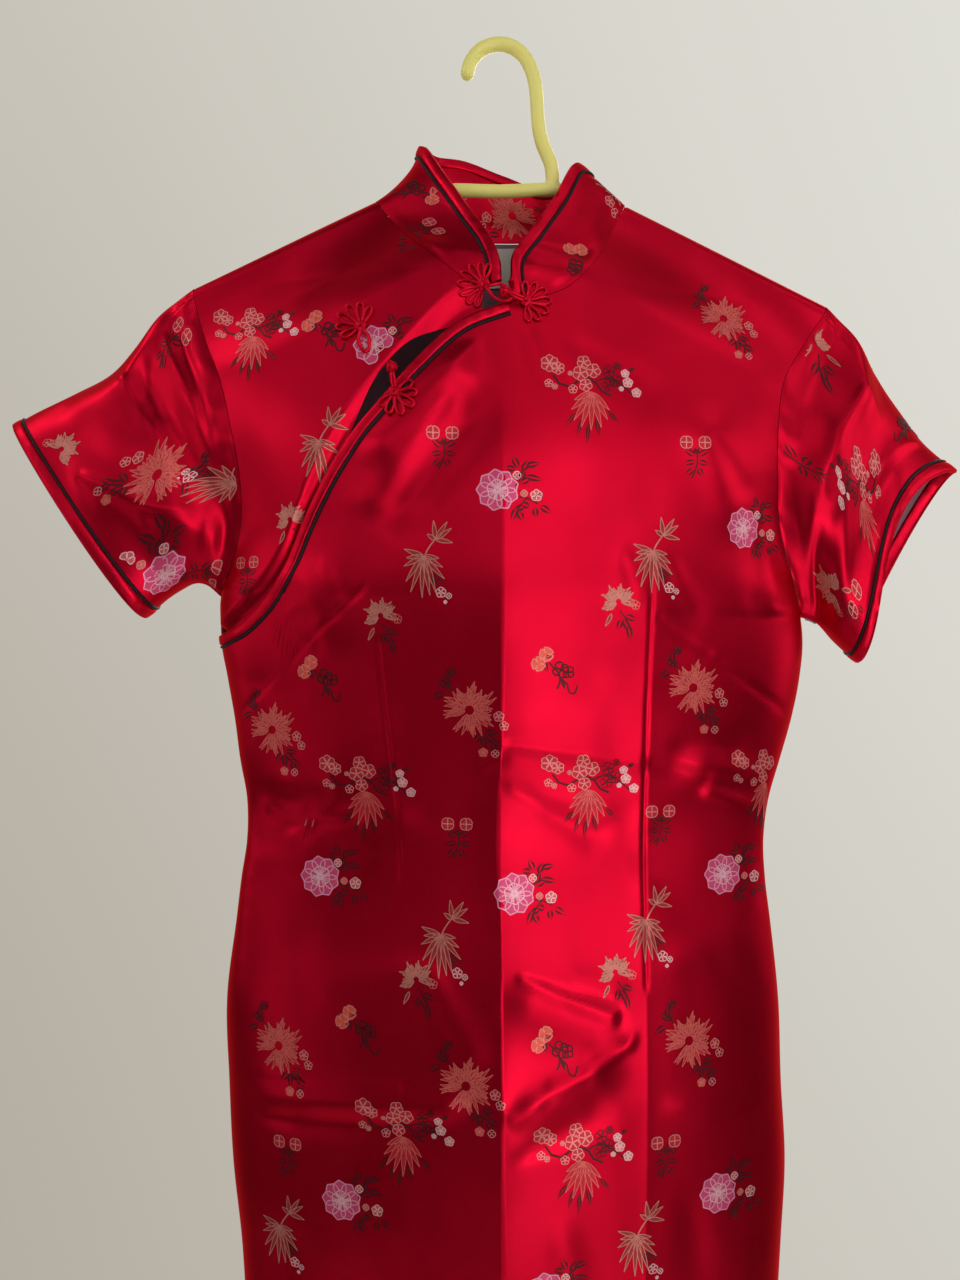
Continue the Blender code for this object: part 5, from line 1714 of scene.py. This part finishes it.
def frog_knot(node, x, down, root):
    """A ball knot woven from one cord, with its double stem to the flower."""
    low, high = place_of(node)
    y = low[1] + 3.1
    centre = np.array([x, y, -down])
    turn = np.linspace(0.0, 2 * math.pi, 181)[:-1]
    lift = math.radians(58.0) * np.sin(3 * turn)
    ball = np.stack([np.cos(lift) * np.cos(2 * turn), np.sin(lift), np.cos(lift) * np.sin(2 * turn)], axis=-1)
    made = [tube(f"{node}_ball", ball * KNOT_RADIUS + centre, 0.75, CORD, closed=True, sides=8)]
    turn = np.linspace(0.0, 2 * math.pi, 25)[:-1]
    rises = np.radians(np.linspace(-84.0, 84.0, 11))
    sections = []
    for v in rises:
        wide = math.cos(v)
        ring = np.stack([wide * np.cos(turn), np.full(turn.shape, math.sin(v)), wide * np.sin(turn)], axis=-1)
        sections.append(centre + KNOT_RADIUS * ring)
    made.append(sweep(f"{node}_core", sections, CORD))
    end = np.array([root[0], high[1] - 1.2, -root[1]])
    run = unit(end - centre)
    side = unit(np.cross(run, FORWARD)) * PETAL_CORD
    for sign in (-1.0, 1.0):
        half_way = (centre + end) / 2 + side * sign + FORWARD * 0.5
        path = resample([centre + run * 2.4 + side * sign * 0.6, half_way, end + side * sign], 12)
        made.append(tube(f"{node}_stem", path, PETAL_CORD, CORD, sides=8))
    return settle(join_pieces(f"{node}_cords", made), [node])


def frog_loop(node, start, end, half, neck):
    """A loop of cord: two strands side by side that part into an eye."""
    low, high = place_of(node)
    y = (low[1] + high[1]) / 2
    run = np.array(end) - np.array(start)
    length = np.linalg.norm(run)
    run = run / length
    side = np.array([-run[1], run[0]])
    turn = np.linspace(0.0, 2 * math.pi, 49)[:-1]
    out = (1.0 - np.cos(turn)) / 2
    wide = np.sin(turn) * np.where(out < neck, 0.35 + 0.65 * ramp(out / neck), 1.0) * half
    flat = np.array(start) + run * (out * length)[:, None] + side * wide[:, None]
    path = np.stack([flat[:, 0], y + 0.25 * np.cos(3 * turn), -flat[:, 1]], axis=-1)
    return settle(tube(f"{node}_cord", path, LOOP_CORD, CORD, closed=True, sides=10), [node])


sewn_edges = [bands["opening"], bands["collar"], pipings["opening"], pipings["collar"]]
trees = cloth_levels([front, under, collar] + sewn_edges)
for row in FROG_FLOWERS:
    frog_flower(trees, *row)
frog_knot("frog_neck_knot", 2.2, 167.6, (13.0, 171.0))
frog_knot("frog_chest_knot", -62.6, 211.9, (-61.4, 223.0))
frog_loop("frog_neck_loop", (-8.6, 163.6), (6.6, 169.8), 4.4, 0.45)
frog_loop("frog_chest_loop", (-81.0, 186.0), (-78.4, 200.0), 3.1, 0.5)


# Label
def make_label():
    """A blank woven label: turned ends, held flat along its top and curling a little lower down."""
    half = LABEL["width"] / 2
    x, down = np.broadcast_arrays(np.linspace(LABEL["x"] - half, LABEL["x"] + half, 61)[:, None],
                                  (LABEL["top"] + np.linspace(0.0, LABEL["height"], 41))[None, :])
    edge = np.minimum(down - LABEL["top"], LABEL["top"] + LABEL["height"] - down)
    curl = 0.5 * ripple(x, down, 81, 9.0, 12.0) * ramp((down - LABEL["top"] - 4.0) / 16.0)
    rise = CLOTH + 0.5 + 0.3 * (1.0 - ramp(edge / 3.5)) + np.abs(curl)
    outer = back_point(x, down) - back_normals(x, down) * rise[..., None]
    piece = cloth_shell("label_cloth", outer, -back_normals(x, down), -0.45, [WHITE, WHITE])
    return settle(piece, ["neck_label"])


label = make_label()


# Hanger
def arm_centre(x):
    fall = float(by_side(np.array(x), SHOULDER_FALL))
    return float(shoulder_down(np.array(x))) + ARM_BELOW * math.hypot(1.0, fall)


HANGER_BLEND = [
    # modifier, settings
    ("REMESH", {"mode": "VOXEL", "voxel_size": 0.00085}),
    ("SMOOTH", {"factor": 0.5, "iterations": 6}),
]


def make_hanger():
    """One moulded rod: arms, bar and hook, blended where they meet."""
    left = [(x, 0.0, -arm_centre(x)) for x in (ARM_END_LEFT, -150.0, -110.0, NECK_POINT["left"])]
    right = [(x, 0.0, -arm_centre(x)) for x in (NECK_POINT["right"], 115.0, 155.0, ARM_END_RIGHT)]
    bar = [(BAR_LEFT - 6.0, 0.0, -BAR_DOWN - 1.6), (BAR_LEFT + 4.0, 0.0, -BAR_DOWN), (0.0, 0.0, -BAR_DOWN),
           (BAR_RIGHT - 4.0, 0.0, -BAR_DOWN), (BAR_RIGHT + 6.0, 0.0, -BAR_DOWN - 2.2)]
    path = resample(left + bar + right, 140)
    outward = np.abs(path[:, 0])
    radii = ARM_RADIUS + (BAR_RADIUS - ARM_RADIUS) * (1.0 - ramp((outward - 50.0) / 26.0))
    ends = np.minimum(path[:, 0] - ARM_END_LEFT, ARM_END_RIGHT - path[:, 0])
    radii = radii * np.sqrt(np.clip(1.0 - (1.0 - np.clip(ends / 3.0, 0.02, 1.0)) ** 2, 0.02, 1.0))
    body = tube("hanger_arms", path, radii, PLASTIC, sides=24)
    centre_down = HOOK_RADIUS - ROD_RADIUS
    angles = np.radians(np.linspace(HOOK_START_DEG, HOOK_END_DEG, 14))
    arc = [(HOOK_RADIUS * math.cos(a), 0.0, HOOK_RADIUS * math.sin(a) - centre_down) for a in angles]
    stem = [(x, 0.0, -down) for x, down in STEM]
    path = resample(arc + stem, 90)
    share = np.linspace(0.0, 1.0, 90)
    radii = ROD_RADIUS * np.sqrt(np.clip(1.0 - (1.0 - np.clip(share / 0.03, 0.05, 1.0)) ** 2, 0.02, 1.0))
    hook = tube("hanger_hook", path, radii, PLASTIC, sides=24)
    joined = join_pieces("hanger_plastic", [body, hook])
    for kind, settings in HANGER_BLEND:
        change = joined.modifiers.new(kind.lower(), kind)
        for key, value in settings.items():
            setattr(change, key, value)
    graph = bpy.context.evaluated_depsgraph_get()
    mesh = bpy.data.meshes.new_from_object(joined.evaluated_get(graph))
    joined.modifiers.clear()
    joined.data = mesh
    mesh.shade_smooth()
    mesh.materials.clear()
    mesh.materials.append(PLASTIC)
    return settle(joined, ["hanger"])


hanger = make_hanger()


# Camera, floor and light
CAMERA_PLACE = (-0.012, -0.600, -0.368)
LENS_MM = 27.0
SENSOR_MM = 36.0


def make_camera():
    data = bpy.data.cameras.new("camera")
    data.lens = LENS_MM
    data.sensor_width = SENSOR_MM
    cam = bpy.data.objects.new("camera", data)
    cam.location = CAMERA_PLACE
    cam.rotation_euler = (math.radians(90.0), 0.0, 0.0)
    bpy.context.collection.objects.link(cam)
    bpy.context.scene.camera = cam
    bpy.context.scene.view_settings.view_transform = "Standard"


def make_light(name, place, target, size, power, colour):
    data = bpy.data.lights.new(name, "AREA")
    data.shape = "RECTANGLE"
    data.size, data.size_y = size
    data.energy = power
    data.color = colour
    lamp = bpy.data.objects.new(name, data)
    lamp.location = place
    lamp.rotation_euler = (Vector(target) - Vector(place)).to_track_quat("-Z", "Y").to_euler()
    bpy.context.collection.objects.link(lamp)


FLOOR_REACH = 700.0
FLOOR_DOWN = 1250.0


def make_floor():
    angles = np.linspace(0.0, 2 * math.pi, 65)[:-1]
    rim = np.stack([np.cos(angles) * FLOOR_REACH, np.sin(angles) * FLOOR_REACH, np.full(64, -FLOOR_DOWN)],
                   axis=-1)
    finish = make_finish("pale_floor", (0.62, 0.60, 0.56), (0.56, 0.54, 0.50), 0.8, 0.0, 0.05, 60.0)
    add_mesh("floor", rim, [tuple(range(64))], [finish])


def make_world():
    """A pale room that lights the dress: brighter behind it than in front of it, where the key light stands.
    The wall seen behind the dress carries painted shade, darker to the left and below and lighter to the
    right and above.
    """
    world = bpy.data.worlds.new("room")
    world.use_nodes = True
    nodes, links = world.node_tree.nodes, world.node_tree.links
    coords = nodes.new("ShaderNodeTexCoord")
    axes = nodes.new("ShaderNodeSeparateXYZ")
    links.new(coords.outputs["Generated"], axes.inputs["Vector"])
    # Painted shade on the wall behind: the plaster runs from a shaded tone at the left and bottom to a lit
    # tone at the right and top.
    across = math_node(nodes, links, "MULTIPLY_ADD", axes.outputs["X"], 0.75, 0.5)
    rise = math_node(nodes, links, "MULTIPLY_ADD", axes.outputs["Z"], 0.4, across)
    plaster_painted_shade = nodes.new("ShaderNodeMix")
    plaster_painted_shade.data_type = "RGBA"
    plaster_painted_shade.inputs["A"].default_value = (0.46, 0.42, 0.36, 1.0)
    plaster_painted_shade.inputs["B"].default_value = (0.74, 0.73, 0.67, 1.0)
    links.new(rise, plaster_painted_shade.inputs["Factor"])
    wall = nodes.new("ShaderNodeMapRange")
    wall.inputs["From Min"].default_value = -0.15
    wall.inputs["From Max"].default_value = 0.35
    links.new(axes.outputs["Y"], wall.inputs["Value"])
    level = nodes.new("ShaderNodeMix")
    level.data_type = "RGBA"
    level.inputs["A"].default_value = (0.034, 0.032, 0.031, 1.0)
    links.new(plaster_painted_shade.outputs["Result"], level.inputs["B"])
    path = nodes.new("ShaderNodeLightPath")
    seen = math_node(nodes, links, "MAXIMUM", wall.outputs["Result"], path.outputs["Is Camera Ray"])
    links.new(seen, level.inputs["Factor"])
    links.new(level.outputs["Result"], nodes["Background"].inputs["Color"])
    bpy.context.scene.world = world


make_camera()
make_world()
make_floor()
LIGHT_DISTANCE = 1.3
LIGHT_SIZE = 0.36
DRESS_MIDDLE = (0.0, 0.0, -0.45)
WINDOW_COLOUR = (1.0, 0.98, 0.96)
LIGHTS = [
    # degrees to the right of the camera, degrees up, power
    (18, -45, 1.2),
    (-52, -22, 0.34),
    (18, -22, 2.47),
    (-75, 0, 0.53),
    (-52, 0, 0.33),
    (18, 0, 1.53),
    (78, 0, 0.8),
    (-75, 22, 0.56),
    (-52, 22, 0.8),
    (-18, 22, 0.41),
    (8, 22, 0.63),
    (18, 22, 0.88),
    (60, 22, 0.62),
    (78, 22, 1),
    (-75, 45, 1.36),
    (-52, 45, 0.2),
    (-34, 45, 0.26),
    (8, 45, 0.6),
    (44, 45, 0.34),
    (60, 45, 0.55),
    (44, 68, 0.49),
    (30, 22, 0.5),
    (-34, 22, 0.15),
    (30, 0, 0.35),
]
for turn, rise, power in LIGHTS:
    level = math.cos(math.radians(rise))
    toward = np.array([math.sin(math.radians(turn)) * level, -math.cos(math.radians(turn)) * level,
                       math.sin(math.radians(rise))])
    place = toward * LIGHT_DISTANCE + np.array(DRESS_MIDDLE)
    make_light(f"window_{turn}_{rise}", place, DRESS_MIDDLE, (LIGHT_SIZE, LIGHT_SIZE), power, WINDOW_COLOUR)
make_light("room_back", (0.6, 1.6, 0.3), (0.0, 0.0, -0.5), (1.4, 1.4), 14.0, (1.0, 0.98, 0.95))
